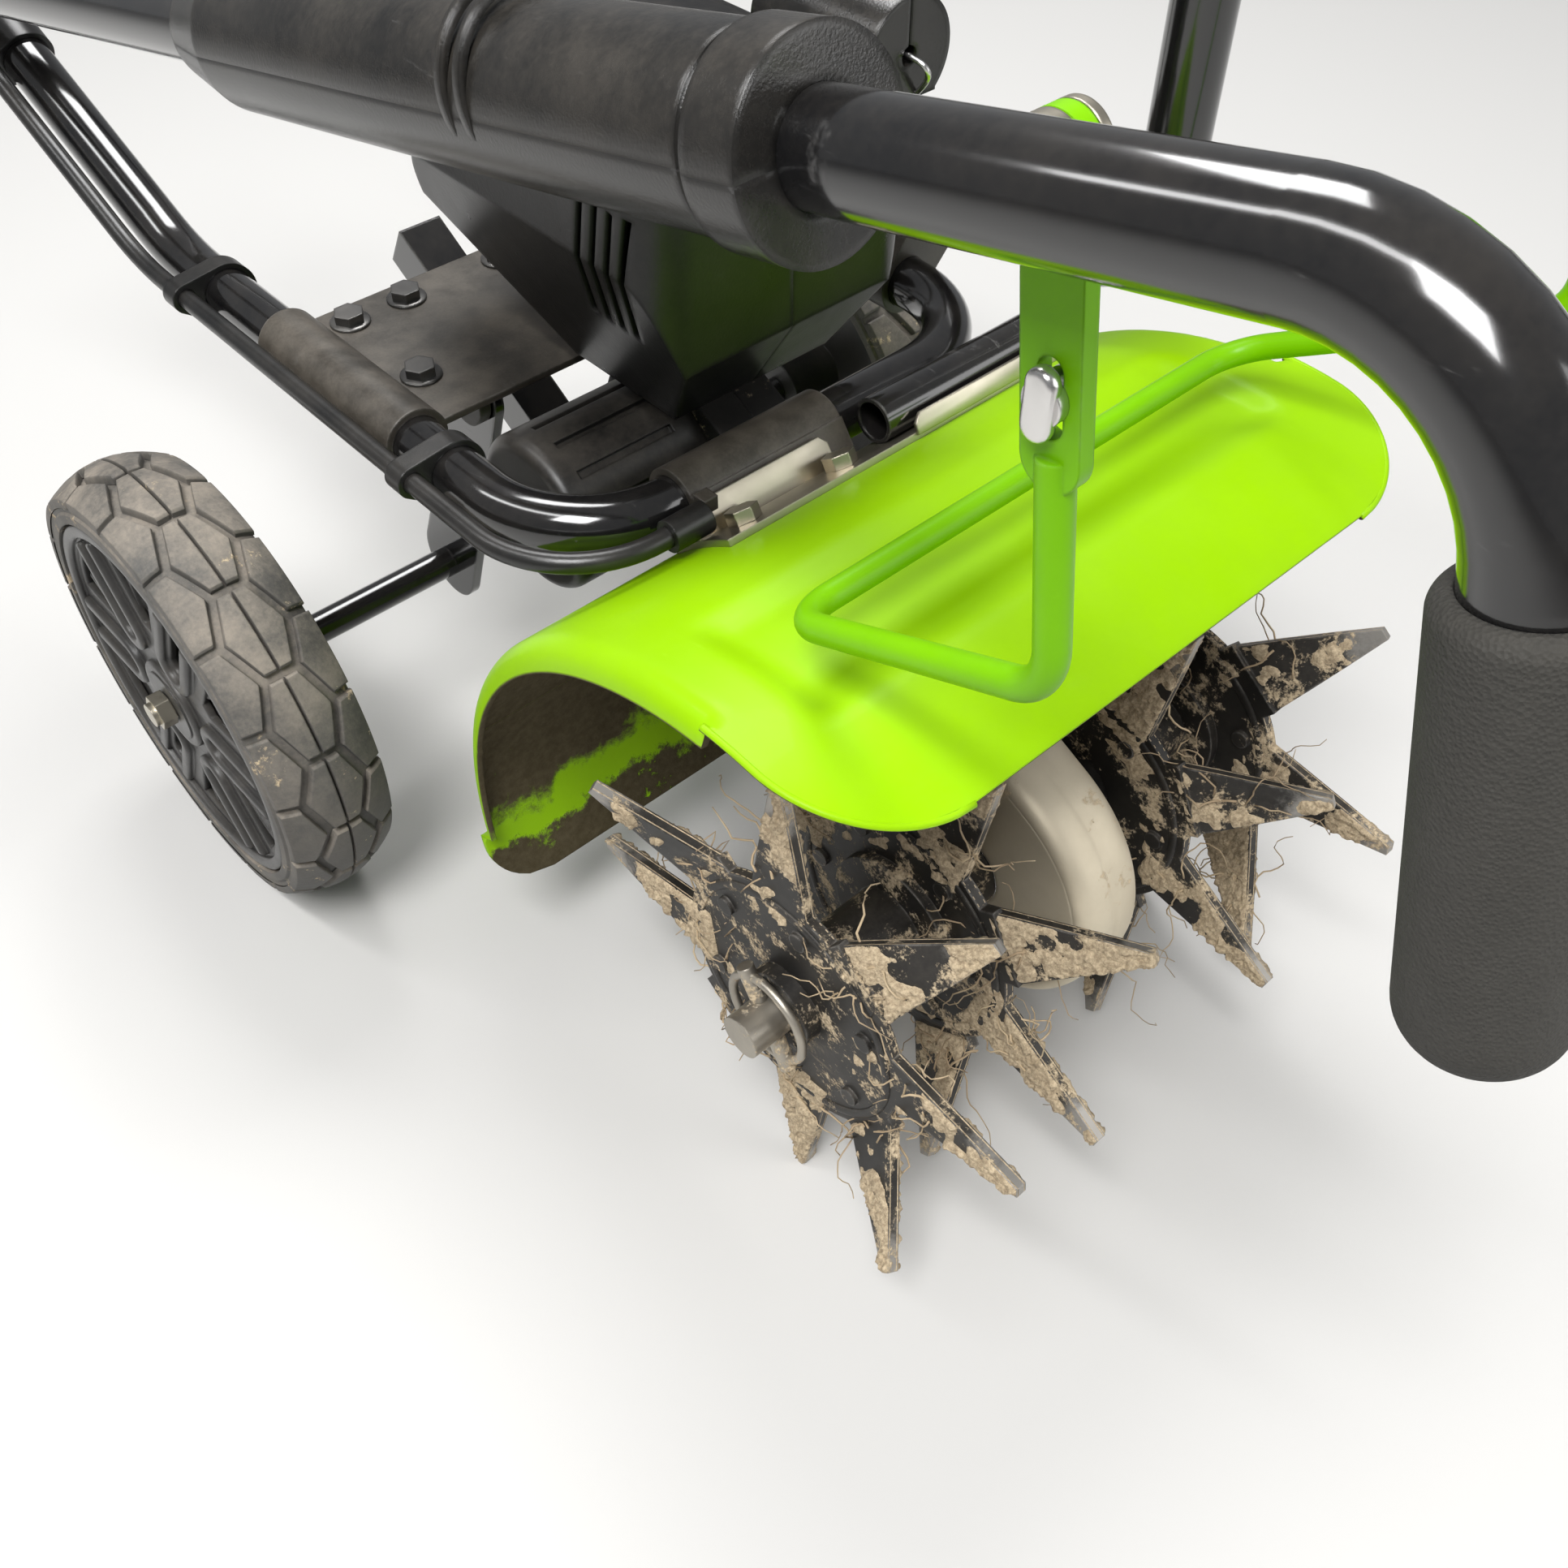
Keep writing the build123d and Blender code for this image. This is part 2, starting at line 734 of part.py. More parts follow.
# Tine hubs: a tube each side with a flange for each star
for name, side in (("left_tine_hub", -1), ("right_tine_hub", 1)):
    inner_flange = inner_tine_x + tine_plate / 2
    outer_flange = outer_tine_x - tine_plate / 2
    with BuildPart() as tine_hub:
        add(cross_cylinder(side * hub_start, side * hub_end, tine_y, tine_z, tine_hub_r))
        add(
            cross_cylinder(
                side * inner_flange, side * (inner_flange + tine_flange_t), tine_y, tine_z, tine_flange_r
            )
        )
        add(
            cross_cylinder(
                side * outer_flange, side * (outer_flange - tine_flange_t), tine_y, tine_z, tine_flange_r
            )
        )
        add(
            cross_cylinder(side * hub_start, side * hub_end, tine_y, tine_z, shaft_r + fit_gap),
            mode=Mode.SUBTRACT,
        )
    tine_hub.part.label = name
    export_step(tine_hub.part, f"parts/{name}.step")


def blade_plane(x: float, angle: float, out: float = 0.0, tilt: float = 0.0) -> Plane:
    """Plane of a blade: local x runs outward along it and the normal lies across the machine."""
    turn = radians(angle)
    lean = radians(tilt)
    outward = (sin(lean), cos(lean) * cos(turn), cos(lean) * sin(turn))
    normal = (cos(lean), -sin(lean) * cos(turn), -sin(lean) * sin(turn))
    origin = (x, tine_y + out * cos(turn), tine_z + out * sin(turn))
    return Plane(origin=origin, x_dir=outward, z_dir=normal)


def blade_outline(start: float, tip: float) -> Sketch:
    """Thorn-shaped blade outline from its root to its swept tip."""
    middle = (start + tip) / 2
    tip_far = (tip, tine_sweep + tine_tip_w / 2)
    tip_near = (tip, tine_sweep - tine_tip_w / 2)
    with BuildSketch() as outline:
        with BuildLine():
            Line((start, -tine_root_w / 2), (start, tine_root_w / 2))
            ThreePointArc((start, tine_root_w / 2), (middle, tine_sweep / 2 + tine_waist_w / 2), tip_far)
            Line(tip_far, tip_near)
            ThreePointArc(tip_near, (middle, tine_sweep / 2 - tine_waist_w / 2), (start, -tine_root_w / 2))
        make_face()
    return outline.sketch


def tine_star(x: float, phase: float) -> Part:
    """A star of flat blades and blades bent to either side in turn, with rivets on both faces."""
    flat_angles = [phase + tine_step * (2 * k + 1) for k in range(tine_count // 2)]
    bent_angles = [phase + tine_step * 2 * k for k in range(tine_count // 2)]
    bends = [tine_bend if k % 2 else -tine_bend for k in range(tine_count // 2)]
    rivet_half = tine_plate / 2 + rivet_high
    with BuildPart() as star:
        add(cross_cylinder(x - tine_plate / 2, x + tine_plate / 2, tine_y, tine_z, tine_disc_r))
        with BuildSketch(*[blade_plane(x, angle) for angle in flat_angles]):
            add(blade_outline(tine_disc_r - tine_root_in, tine_reach))
        extrude(amount=tine_plate / 2, both=True)
        with BuildSketch(*[blade_plane(x, angle) for angle in bent_angles]):
            with Locations((tine_disc_r / 2 + tine_plate / 2, 0)):
                Rectangle(tine_disc_r + tine_plate, tine_root_w)
        extrude(amount=tine_plate / 2, both=True)
        bent_planes = [blade_plane(x, a, tine_disc_r, tilt) for a, tilt in zip(bent_angles, bends)]
        with BuildSketch(*bent_planes):
            add(blade_outline(0, tine_reach - tine_disc_r))
        extrude(amount=tine_plate / 2, both=True)
        with BuildSketch(Plane.YZ.offset(x - rivet_half)):
            with Locations((tine_y, tine_z)):
                with PolarLocations(rivet_circle, rivet_count, start_angle=phase):
                    Circle(rivet_r)
        extrude(amount=2 * rivet_half)
        add(
            cross_cylinder(x - tine_plate, x + tine_plate, tine_y, tine_z, tine_hub_r + fit_gap),
            mode=Mode.SUBTRACT,
        )
    return star.part


tine_places = (
    ("left_outer_tines", -outer_tine_x, tine_phase),
    ("left_inner_tines", -inner_tine_x, tine_phase + tine_stagger),
    ("right_inner_tines", inner_tine_x, tine_phase + tine_stagger),
    ("right_outer_tines", outer_tine_x, tine_phase),
)
for name, x, phase in tine_places:
    with BuildPart() as tines:
        add(tine_star(x, phase))
    tines.part.label = name
    export_step(tines.part, f"parts/{name}.step")


def housing_block(inset: float) -> Part:
    """Tapered battery housing body, shrunk on every side by the inset."""
    with BuildPart() as block:
        with BuildSketch(Plane.YZ):
            with BuildLine():
                Polyline(
                    (house_front, house_top),
                    (house_front, house_shin),
                    (house_toe, seat_z),
                    (house_heel, seat_z),
                    (house_rear, house_rear_low),
                    (house_rear, house_top),
                    close=True,
                )
            make_face()
            offset(amount=-inset, kind=Kind.INTERSECTION, mode=Mode.REPLACE)
        extrude(amount=house_half_top, both=True)
        with BuildSketch(Plane.XZ):
            with BuildLine():
                Polyline(
                    (-house_half_low, seat_z),
                    (house_half_low, seat_z),
                    (house_half_top, house_top - house_shoulder),
                    (house_half_top, house_top),
                    (-house_half_top, house_top),
                    (-house_half_top, house_top - house_shoulder),
                    close=True,
                )
            make_face()
            offset(amount=-inset, kind=Kind.INTERSECTION, mode=Mode.REPLACE)
        extrude(amount=2 * abs(tine_y) + house_rear, both=True, mode=Mode.INTERSECT)
        with BuildSketch(Plane.XY.offset(seat_z)):
            with Locations((0, (house_front + house_rear) / 2)):
                RectangleRounded(
                    2 * (house_half_top - inset), house_rear - house_front - 2 * inset, house_round - inset
                )
        extrude(amount=house_top - seat_z, mode=Mode.INTERSECT)
    return block.part


def housing_cavity() -> Part:
    """Hollow of the battery housing, parted by the shelf under the pack."""
    with BuildPart() as cavity:
        add(housing_block(house_wall))
        with BuildSketch(Plane.YZ):
            with Locations(((pack_front + house_rear) / 2, pack_low - shelf_t / 2)):
                Rectangle(house_rear - pack_front, shelf_t)
        extrude(amount=house_half_top, both=True, mode=Mode.SUBTRACT)
    return cavity.part


def housing_half(side: int) -> Part:
    """One shell of the battery housing, with its vents and half of the pack's bay."""
    with BuildPart() as shell:
        add(housing_block(0))
        fillet(shell.faces().sort_by(Axis.Z)[-1].edges(), house_top_round)
        add(housing_cavity(), mode=Mode.SUBTRACT)
        with BuildSketch(Plane.XZ.offset(-house_rear)):
            with Locations((0, pack_low + pack_high / 2)):
                RectangleRounded(2 * (pack_half + pack_gap), pack_high + 2 * pack_gap, pack_round)
        extrude(amount=2 * house_wall, mode=Mode.SUBTRACT)
        with BuildSketch(Plane.YZ):
            with Locations((vent_y, vent_z)):
                with GridLocations(vent_pitch, vent_high, vent_count, 1):
                    Rectangle(vent_w, vent_high, rotation=vent_lean)
        extrude(amount=side * house_half_top, mode=Mode.SUBTRACT)
        split(bisect_by=Plane.YZ, keep=Keep.TOP if side > 0 else Keep.BOTTOM)
    return shell.part


# Battery housing shells on the seat of the drive case
pack_low = house_top - pack_roof - pack_high
pack_front = house_rear + pack_proud - pack_length
for name, side in (("housing_left", -1), ("housing_right", 1)):
    with BuildPart() as housing:
        add(housing_half(side))
    housing.part.label = name
    export_step(housing.part, f"parts/{name}.step")

# Battery pack on the shelf, with a finger ledge at its rear
with BuildPart() as battery_pack:
    with BuildSketch(Plane.XZ.offset(-pack_front)):
        with Locations((0, pack_low + pack_high / 2)):
            RectangleRounded(2 * pack_half, pack_high, pack_round)
    extrude(amount=-pack_length)
    with BuildSketch(Plane.XY.offset(pack_low + pack_high)):
        with Locations((0, pack_front + pack_length - pack_proud / 2)):
            Rectangle(pack_half, latch_w + 2 * fit_gap)
    extrude(amount=-latch_deep, mode=Mode.SUBTRACT)
battery_pack.part.label = "battery_pack"
export_step(battery_pack.part, "parts/battery_pack.step")

# Latch button let into the top of the pack
with BuildPart() as pack_latch:
    with BuildSketch(Plane.XY.offset(pack_low + pack_high - latch_deep + latch_travel)):
        with Locations((0, pack_front + pack_length - pack_proud / 2)):
            Rectangle(pack_half - 2 * fit_gap, latch_w)
    extrude(amount=latch_deep)
    fillet(pack_latch.faces().sort_by(Axis.Z)[-1].edges(), latch_round)
pack_latch.part.label = "pack_latch"
export_step(pack_latch.part, "parts/pack_latch.step")

# Split connector barrel on top of the housing
plug_z = house_top + plug_r
with BuildPart() as connector:
    with BuildSketch(Plane.XZ.offset(-plug_front)):
        with Locations((plug_x, plug_z)):
            Circle(plug_r)
        with Locations((plug_x, house_top + plug_r / 2)):
            Rectangle(2 * plug_base_half, plug_r)
        with Locations((plug_x, plug_z)):
            Circle(plug_bore, mode=Mode.SUBTRACT)
        with Locations((plug_x, plug_z + plug_r / 2)):
            Rectangle(plug_slit, plug_r, mode=Mode.SUBTRACT)
    extrude(amount=-plug_length)
    with BuildSketch(Plane.XY.offset(house_top)):
        with Locations((plug_x, (plug_front + house_front) / 2)):
            Rectangle(2 * plug_r, house_front - plug_front)
    extrude(amount=plug_base_cut, mode=Mode.SUBTRACT)
connector.part.label = "connector"
export_step(connector.part, "parts/connector.step")

# Wheel carrier: two ears from the deck pivot down to the axle, with a web between
bar_dir = (0, cos(radians(bar_slope)), sin(radians(bar_slope)))
web_plane = Plane(origin=(0, web_y, web_z), x_dir=(1, 0, 0), z_dir=bar_dir)
with BuildPart() as wheel_carrier:
    for side in (-1, 1):
        with BuildSketch(Plane.YZ.offset(side * ear_x - ear_t / 2)):
            with Locations((pivot_y, pivot_z)):
                Circle(ear_top_r)
            with Locations((axle_y, axle_z)):
                Circle(ear_low_r)
            make_hull()
            with Locations((pivot_y, pivot_z)):
                Circle(pivot_r + fit_gap, mode=Mode.SUBTRACT)
            with Locations((axle_y, axle_z)):
                Circle(axle_r + fit_gap, mode=Mode.SUBTRACT)
        extrude(amount=ear_t)
    with BuildSketch(web_plane):
        Rectangle(2 * ear_x, web_high)
    extrude(amount=-web_t)
wheel_carrier.part.label = "wheel_carrier"
export_step(wheel_carrier.part, "parts/wheel_carrier.step")

with BuildPart() as carrier_bar:
    with BuildSketch(web_plane):
        Rectangle(bar_w, bar_w)
        Rectangle(bar_w - 2 * bar_wall, bar_w - 2 * bar_wall, mode=Mode.SUBTRACT)
    extrude(amount=bar_length)
carrier_bar.part.label = "carrier_bar"
export_step(carrier_bar.part, "parts/carrier_bar.step")

# Pivot pin through the deck lugs and the ears
pin_half = lug_x + pivot_lug_t
with BuildPart() as carrier_pin:
    add(cross_cylinder(-pin_half, pin_half + pivot_head_t, pivot_y, pivot_z, pivot_r))
    add(cross_cylinder(pin_half, pin_half + pivot_head_t, pivot_y, pivot_z, pivot_head_r))
carrier_pin.part.label = "carrier_pin"
export_step(carrier_pin.part, "parts/carrier_pin.step")

# Axle with a spacer, a wheel and a nut on each side
wheel_in = wheel_x - tyre_w / 2
wheel_out = wheel_x + tyre_w / 2
nut_x = wheel_out + seat_gap
rib_turn = 180.0 / pocket_count
rib_middle = (pocket_in + pocket_out) / 2
rib_long = pocket_out - pocket_in - 2 * rib_end
with BuildPart() as axle:
    add(cross_cylinder(-nut_x - axle_end, nut_x + axle_end, axle_y, axle_z, axle_r))
axle.part.label = "axle"
export_step(axle.part, "parts/axle.step")

with BuildPart() as axle_spacers:
    for side in (-1, 1):
        spacer_in = side * (ear_x + ear_t / 2)
        spacer_out = side * (wheel_in - seat_gap)
        add(cross_cylinder(spacer_in, spacer_out, axle_y, axle_z, spacer_r, axle_r + fit_gap))
axle_spacers.part.label = "axle_spacers"
export_step(axle_spacers.part, "parts/axle_spacers.step")

with BuildPart() as axle_nuts:
    for side in (-1, 1):
        with BuildSketch(Plane.YZ.offset(side * nut_x)):
            with Locations((axle_y, axle_z)):
                RegularPolygon(radius=nut_hex / 2, side_count=6, major_radius=False)
                Circle(axle_r + fit_gap, mode=Mode.SUBTRACT)
        extrude(amount=side * nut_t)
axle_nuts.part.label = "axle_nuts"
export_step(axle_nuts.part, "parts/axle_nuts.step")

for name, side in (("left", -1), ("right", 1)):
    wheel_axis = Axis((0, axle_y, axle_z), (1, 0, 0))
    wheel_plane = Plane(origin=(side * wheel_x, axle_y, axle_z), x_dir=(side, 0, 0), z_dir=(0, -side, 0))
    with BuildPart() as wheel_hub:
        with BuildSketch(wheel_plane):
            with Locations((0, rim_r - rim_t / 2)):
                Rectangle(rim_w, rim_t)
            with Locations((rim_w / 2 - dish_t / 2 - dish_in, (hub_r + rim_r - rim_t) / 2)):
                Rectangle(dish_t, rim_r - hub_r)
            with Locations((0, (hub_r + axle_r + fit_gap) / 2)):
                Rectangle(tyre_w, hub_r - axle_r - fit_gap)
        revolve(axis=wheel_axis)
        dish_face = side * (wheel_x + rim_w / 2 - dish_in)
        with BuildSketch(Plane.YZ.offset(dish_face)):
            with Locations((axle_y, axle_z)):
                with PolarLocations((pocket_in + pocket_out) / 2, pocket_count):
                    Polygon(
                        ((pocket_in - pocket_out) / 2, -pocket_in_w / 2),
                        ((pocket_out - pocket_in) / 2, -pocket_out_w / 2),
                        ((pocket_out - pocket_in) / 2, pocket_out_w / 2),
                        ((pocket_in - pocket_out) / 2, pocket_in_w / 2),
                        align=None,
                    )
        extrude(amount=-side * pocket_deep, mode=Mode.SUBTRACT)
        with BuildSketch(Plane.YZ.offset(dish_face)):
            with Locations((axle_y, axle_z)):
                with PolarLocations(rib_middle, pocket_count, start_angle=rib_turn):
                    Rectangle(rib_long, rib_wide)
            with Locations((axle_y, axle_z)):
                with PolarLocations(rib_middle + rib_t, pocket_count, start_angle=rib_turn):
                    Rectangle(rib_long, rib_wide - 2 * rib_t, mode=Mode.SUBTRACT)
        extrude(amount=side * rib_high)
    wheel_hub.part.label = f"{name}_wheel_hub"
    export_step(wheel_hub.part, f"parts/{name}_wheel_hub.step")

    with BuildPart() as tyre:
        with BuildSketch(wheel_plane):
            with BuildLine():
                Polyline(
                    (-tyre_w / 2, tyre_r - tyre_crown),
                    (-tyre_w / 2, rim_r + fit_gap),
                    (tyre_w / 2, rim_r + fit_gap),
                    (tyre_w / 2, tyre_r - tyre_crown),
                )
                ThreePointArc(
                    (tyre_w / 2, tyre_r - tyre_crown), (0, tyre_r), (-tyre_w / 2, tyre_r - tyre_crown)
                )
            make_face()
        revolve(axis=wheel_axis)
        tread_planes = []
        for k in range(tread_count):
            turn = radians(k * 360.0 / tread_count)
            up = (0, sin(turn), cos(turn))
            place = (side * wheel_x, axle_y + tyre_r * up[1], axle_z + tyre_r * up[2])
            tread_planes.append(Plane(origin=place, x_dir=(1, 0, 0), z_dir=up))
        with BuildSketch(*tread_planes):
            with Locations((-tyre_w / 3, 0)):
                Rectangle(tyre_w * 2 / 3, tread_groove, rotation=tread_slant)
            with Locations((tyre_w / 3, 0)):
                Rectangle(tyre_w * 2 / 3, tread_groove, rotation=-tread_slant)
        extrude(amount=-tread_deep, mode=Mode.SUBTRACT)
    tyre.part.label = f"{name}_tyre"
    export_step(tyre.part, f"parts/{name}_tyre.step")

# Handle: one bent tube each side, hinged at the rear ends of the frame and folded forward
arm_length = hypot(fold_y - bend_y, bend_z - fold_z)
arm_back = (0, (fold_y - bend_y) / arm_length, (fold_z - bend_z) / arm_length)
arm_up = (0, -arm_back[2], arm_back[1])
grip_run = hypot(grip_end_y - bend_y, grip_end_z - bend_z)
grip_dir = (0, (grip_end_y - bend_y) / grip_run, (grip_end_z - bend_z) / grip_run)
bend_turn = acos(arm_back[1] * -grip_dir[1] + arm_back[2] * -grip_dir[2])
grip_start = bend_r * tan(bend_turn / 2) + grip_gap
grip_length = grip_run - grip_start
bail_pivot_z = arm_height(bail_pivot_y)
bail_flat_low = bail_pivot_z - bail_flat_drop
bail_slot_z = bail_pivot_z - bail_slot_drop
handle_in = handle_x - handle_r
handle_out = handle_x + handle_r
with BuildPart() as left_handle_tube:
    tube_points = [
        (-handle_x, fold_y, fold_z),
        (-handle_x, bend_y, bend_z),
        (-handle_x, grip_end_y, grip_end_z),
    ]
    add(round_tube(tube_points, [bend_r], handle_r, handle_r - handle_wall))
    add(cross_cylinder(-handle_in, -handle_out, fold_y, fold_z, fold_eye_r))
    add(
        cross_cylinder(-arm_x, -handle_out - tube_r, fold_y, fold_z, fold_bolt_r + fit_gap),
        mode=Mode.SUBTRACT,
    )
    add(
        cross_cylinder(-arm_x, -handle_x, bail_pivot_y, bail_pivot_z, bail_pin_r + fit_gap),
        mode=Mode.SUBTRACT,
    )
left_handle_tube.part.label = "left_handle_tube"
export_step(left_handle_tube.part, "parts/left_handle_tube.step")

with BuildPart() as right_handle_tube:
    mirror(left_handle_tube.part, about=Plane.YZ)
right_handle_tube.part.label = "right_handle_tube"
export_step(right_handle_tube.part, "parts/right_handle_tube.step")

for name, side in (("left", -1), ("right", 1)):
    with BuildPart() as grip:
        grip_place = (
            side * handle_x,
            bend_y + grip_start * grip_dir[1],
            bend_z + grip_start * grip_dir[2],
        )
        with BuildSketch(Plane(origin=grip_place, x_dir=(1, 0, 0), z_dir=grip_dir)):
            Circle(grip_r)
        extrude(amount=grip_length + grip_cap)
        fillet(grip.edges().filter_by(GeomType.CIRCLE), grip_round)
        with BuildSketch(Plane(origin=grip_place, x_dir=(1, 0, 0), z_dir=grip_dir)):
            Circle(handle_r + fit_gap)
        extrude(amount=grip_length, mode=Mode.SUBTRACT)
    grip.part.label = f"{name}_grip"
    export_step(grip.part, f"parts/{name}_grip.step")

    with BuildPart() as fold_knob:
        with BuildSketch(Plane.YZ.offset(side * handle_out)):
            with Locations((fold_y, fold_z)):
                Circle(knob_r)
                with PolarLocations(knob_r, knob_lobes):
                    Circle(knob_lobe_r)
                Circle(fold_bolt_r + fit_gap, mode=Mode.SUBTRACT)
        extrude(amount=side * knob_t)
    fold_knob.part.label = f"{name}_fold_knob"
    export_step(fold_knob.part, f"parts/{name}_fold_knob.step")

    with BuildPart() as bail_pin:
        flat_in = bail_x - bail_flat_t / 2 - seat_gap
        flat_out = bail_x + bail_flat_t / 2 + seat_gap
        add(cross_cylinder(side * flat_in, side * handle_x, bail_pivot_y, bail_pivot_z, bail_pin_r))
        head_in = side * (flat_in - bail_pin_head_t)
        add(cross_cylinder(side * flat_in, head_in, bail_pivot_y, bail_pivot_z, bail_pin_head_r))
        add(cross_cylinder(side * flat_out, side * handle_in, bail_pivot_y, bail_pivot_z, bail_pin_head_r))
    bail_pin.part.label = f"{name}_bail_pin"
    export_step(bail_pin.part, f"parts/{name}_bail_pin.step")

# Fold bolts through the eyes, with a spacer ring between each pair
with BuildPart() as fold_bolts:
    for side in (-1, 1):
        head_place = (side * (arm_x - tube_r), fold_y, fold_z)
        head_plane = Plane(origin=head_place, x_dir=(0, 1, 0), z_dir=(-side, 0, 0))
        bolt_length = handle_out + knob_t - arm_x + tube_r
        add(hex_bolt(head_plane, fold_bolt_hex, fold_bolt_head, fold_bolt_r, bolt_length))
fold_bolts.part.label = "fold_bolts"
export_step(fold_bolts.part, "parts/fold_bolts.step")

with BuildPart() as fold_spacers:
    for side in (-1, 1):
        ring_in = side * (arm_x + tube_r)
        ring_out = side * (handle_in - seat_gap)
        add(cross_cylinder(ring_in, ring_out, fold_y, fold_z, fold_eye_r, fold_bolt_r + fit_gap))
fold_spacers.part.label = "fold_spacers"
export_step(fold_spacers.part, "parts/fold_spacers.step")

# Spreader tube between the handle arms
spreader_z = arm_height(spreader_y)
with BuildPart() as handle_spreader:
    add(cross_cylinder(-handle_x, handle_x, spreader_y, spreader_z, spreader_r))
    for side in (-1, 1):
        spreader_end = (
            side * handle_x,
            spreader_y - 2 * spreader_r * arm_back[1],
            spreader_z - 2 * spreader_r * arm_back[2],
        )
        with BuildSketch(Plane(origin=spreader_end, x_dir=(1, 0, 0), z_dir=arm_back)):
            Circle(handle_r + fit_gap)
        extrude(amount=4 * spreader_r, mode=Mode.SUBTRACT)
handle_spreader.part.label = "handle_spreader"
export_step(handle_spreader.part, "parts/handle_spreader.step")

# Control housing: a long clamshell on the left arm with a lock button on top
control_place = (-handle_x, control_front, arm_height(control_front))
control_plane = Plane(origin=control_place, x_dir=arm_back, z_dir=(1, 0, 0))
button_place = (
    -handle_x,
    control_place[1] + button_back * arm_back[1] + (control_r - button_sink) * arm_up[1],
    control_place[2] + button_back * arm_back[2] + (control_r - button_sink) * arm_up[2],
)
button_plane = Plane(origin=button_place, x_dir=(1, 0, 0), z_dir=arm_up)
control_bore = handle_r + fit_gap
for name, keep in (("control_housing_upper", Keep.TOP), ("control_housing_lower", Keep.BOTTOM)):
    with BuildPart() as control_housing:
        with BuildSketch(control_plane):
            with BuildLine():
                Polyline(
                    (0, control_bore),
                    (0, control_collar_r),
                    (control_collar, control_collar_r),
                    (control_collar, control_r - control_groove),
                    (control_collar + 2 * control_groove, control_r - control_groove),
                    (control_collar + 2 * control_groove, control_r),
                    (control_length - control_taper, control_r),
                    (control_length, control_tail_r),
                    (control_length, control_bore),
                    close=True,
                )
            make_face()
        revolve(axis=Axis(control_place, arm_back))
        with BuildSketch(button_plane):
            Circle(button_r + fit_gap)
        extrude(amount=button_high, mode=Mode.SUBTRACT)
        with BuildSketch(button_plane):
            Circle(button_r + fit_gap)
        extrude(amount=-button_travel - seat_gap, mode=Mode.SUBTRACT)
        split(bisect_by=Plane(origin=control_place, x_dir=(1, 0, 0), z_dir=arm_up), keep=keep)
    control_housing.part.label = name
    export_step(control_housing.part, f"parts/{name}.step")

with BuildPart() as lock_button:
    with BuildSketch(button_plane):
        Circle(button_r)
    extrude(amount=button_high)
    fillet(lock_button.edges().filter_by(GeomType.CIRCLE).sort_by(Axis.Z)[-1], button_round)
lock_button.part.label = "lock_button"
export_step(lock_button.part, "parts/lock_button.step")

# Switch bail: a rod loop with flattened, slotted ends on the two pivot pins
bail_lean = (bail_knee_y - bail_pivot_y) / (bail_knee_z - bail_pivot_z)
bail_low_y = bail_pivot_y + bail_lean * (bail_flat_low - bail_pivot_z)
slot_y = bail_pivot_y + bail_lean * (bail_slot_z - bail_pivot_z)
slot_turn = 90.0 - degrees(atan2(bail_lean, 1.0))
bail_left = [
    (-bail_x, bail_low_y, bail_flat_low),
    (-bail_x, bail_knee_y, bail_knee_z),
    (-bail_bar_half, bail_bar_y, bail_bar_z),
]
bail_right = [(-x, y, z) for x, y, z in reversed(bail_left)]
with BuildPart() as bail:
    add(round_tube(bail_left + bail_right, [bail_bend_r] * 4, bail_r))
    for side in (-1, 1):
        with BuildSketch(Plane.YZ.offset(side * bail_x - bail_flat_t / 2)):
            with Locations((bail_pivot_y, bail_pivot_z), (bail_low_y, bail_flat_low)):
                Circle(bail_flat_w / 2)
            make_hull()
            with Locations((bail_pivot_y, bail_pivot_z)):
                Circle(bail_pin_r + fit_gap, mode=Mode.SUBTRACT)
        extrude(amount=bail_flat_t)
        with BuildSketch(Plane.YZ.offset(side * bail_x - bail_r)):
            with Locations((slot_y, bail_slot_z)):
                SlotOverall(bail_slot_l, bail_slot_w, rotation=slot_turn)
        extrude(amount=2 * bail_r, mode=Mode.SUBTRACT)
bail.part.label = "bail"
export_step(bail.part, "parts/bail.step")

# Bright cable nipple through the left slot
with BuildPart() as bail_nipple:
    nipple_in = -bail_x + bail_flat_t / 2
    nipple_out = -bail_x - bail_flat_t / 2
    add(cross_cylinder(nipple_out - nipple_head_t, nipple_in + nipple_head_t, slot_y, bail_slot_z, nipple_r))
    add(cross_cylinder(nipple_in, nipple_in + nipple_head_t, slot_y, bail_slot_z, nipple_head_r))
    add(cross_cylinder(nipple_out - nipple_head_t, nipple_out, slot_y, bail_slot_z, nipple_head_r))
bail_nipple.part.label = "bail_nipple"
export_step(bail_nipple.part, "parts/bail_nipple.step")

# Handle stay: an upright on the right frame arm with a cradle for the folded handle
stay_top = arm_height(stay_y) - handle_r - cradle_high
stay_points = [
    (handle_x, stay_y, stay_top),
    (handle_x, stay_y, stay_foot_z),
    (handle_x, stay_end_y, stay_foot_z),
]
with BuildPart() as handle_stay:
    add(round_tube(stay_points, [stay_bend_r], stay_r, stay_r - stay_wall))
handle_stay.part.label = "handle_stay"
export_step(handle_stay.part, "parts/handle_stay.step")

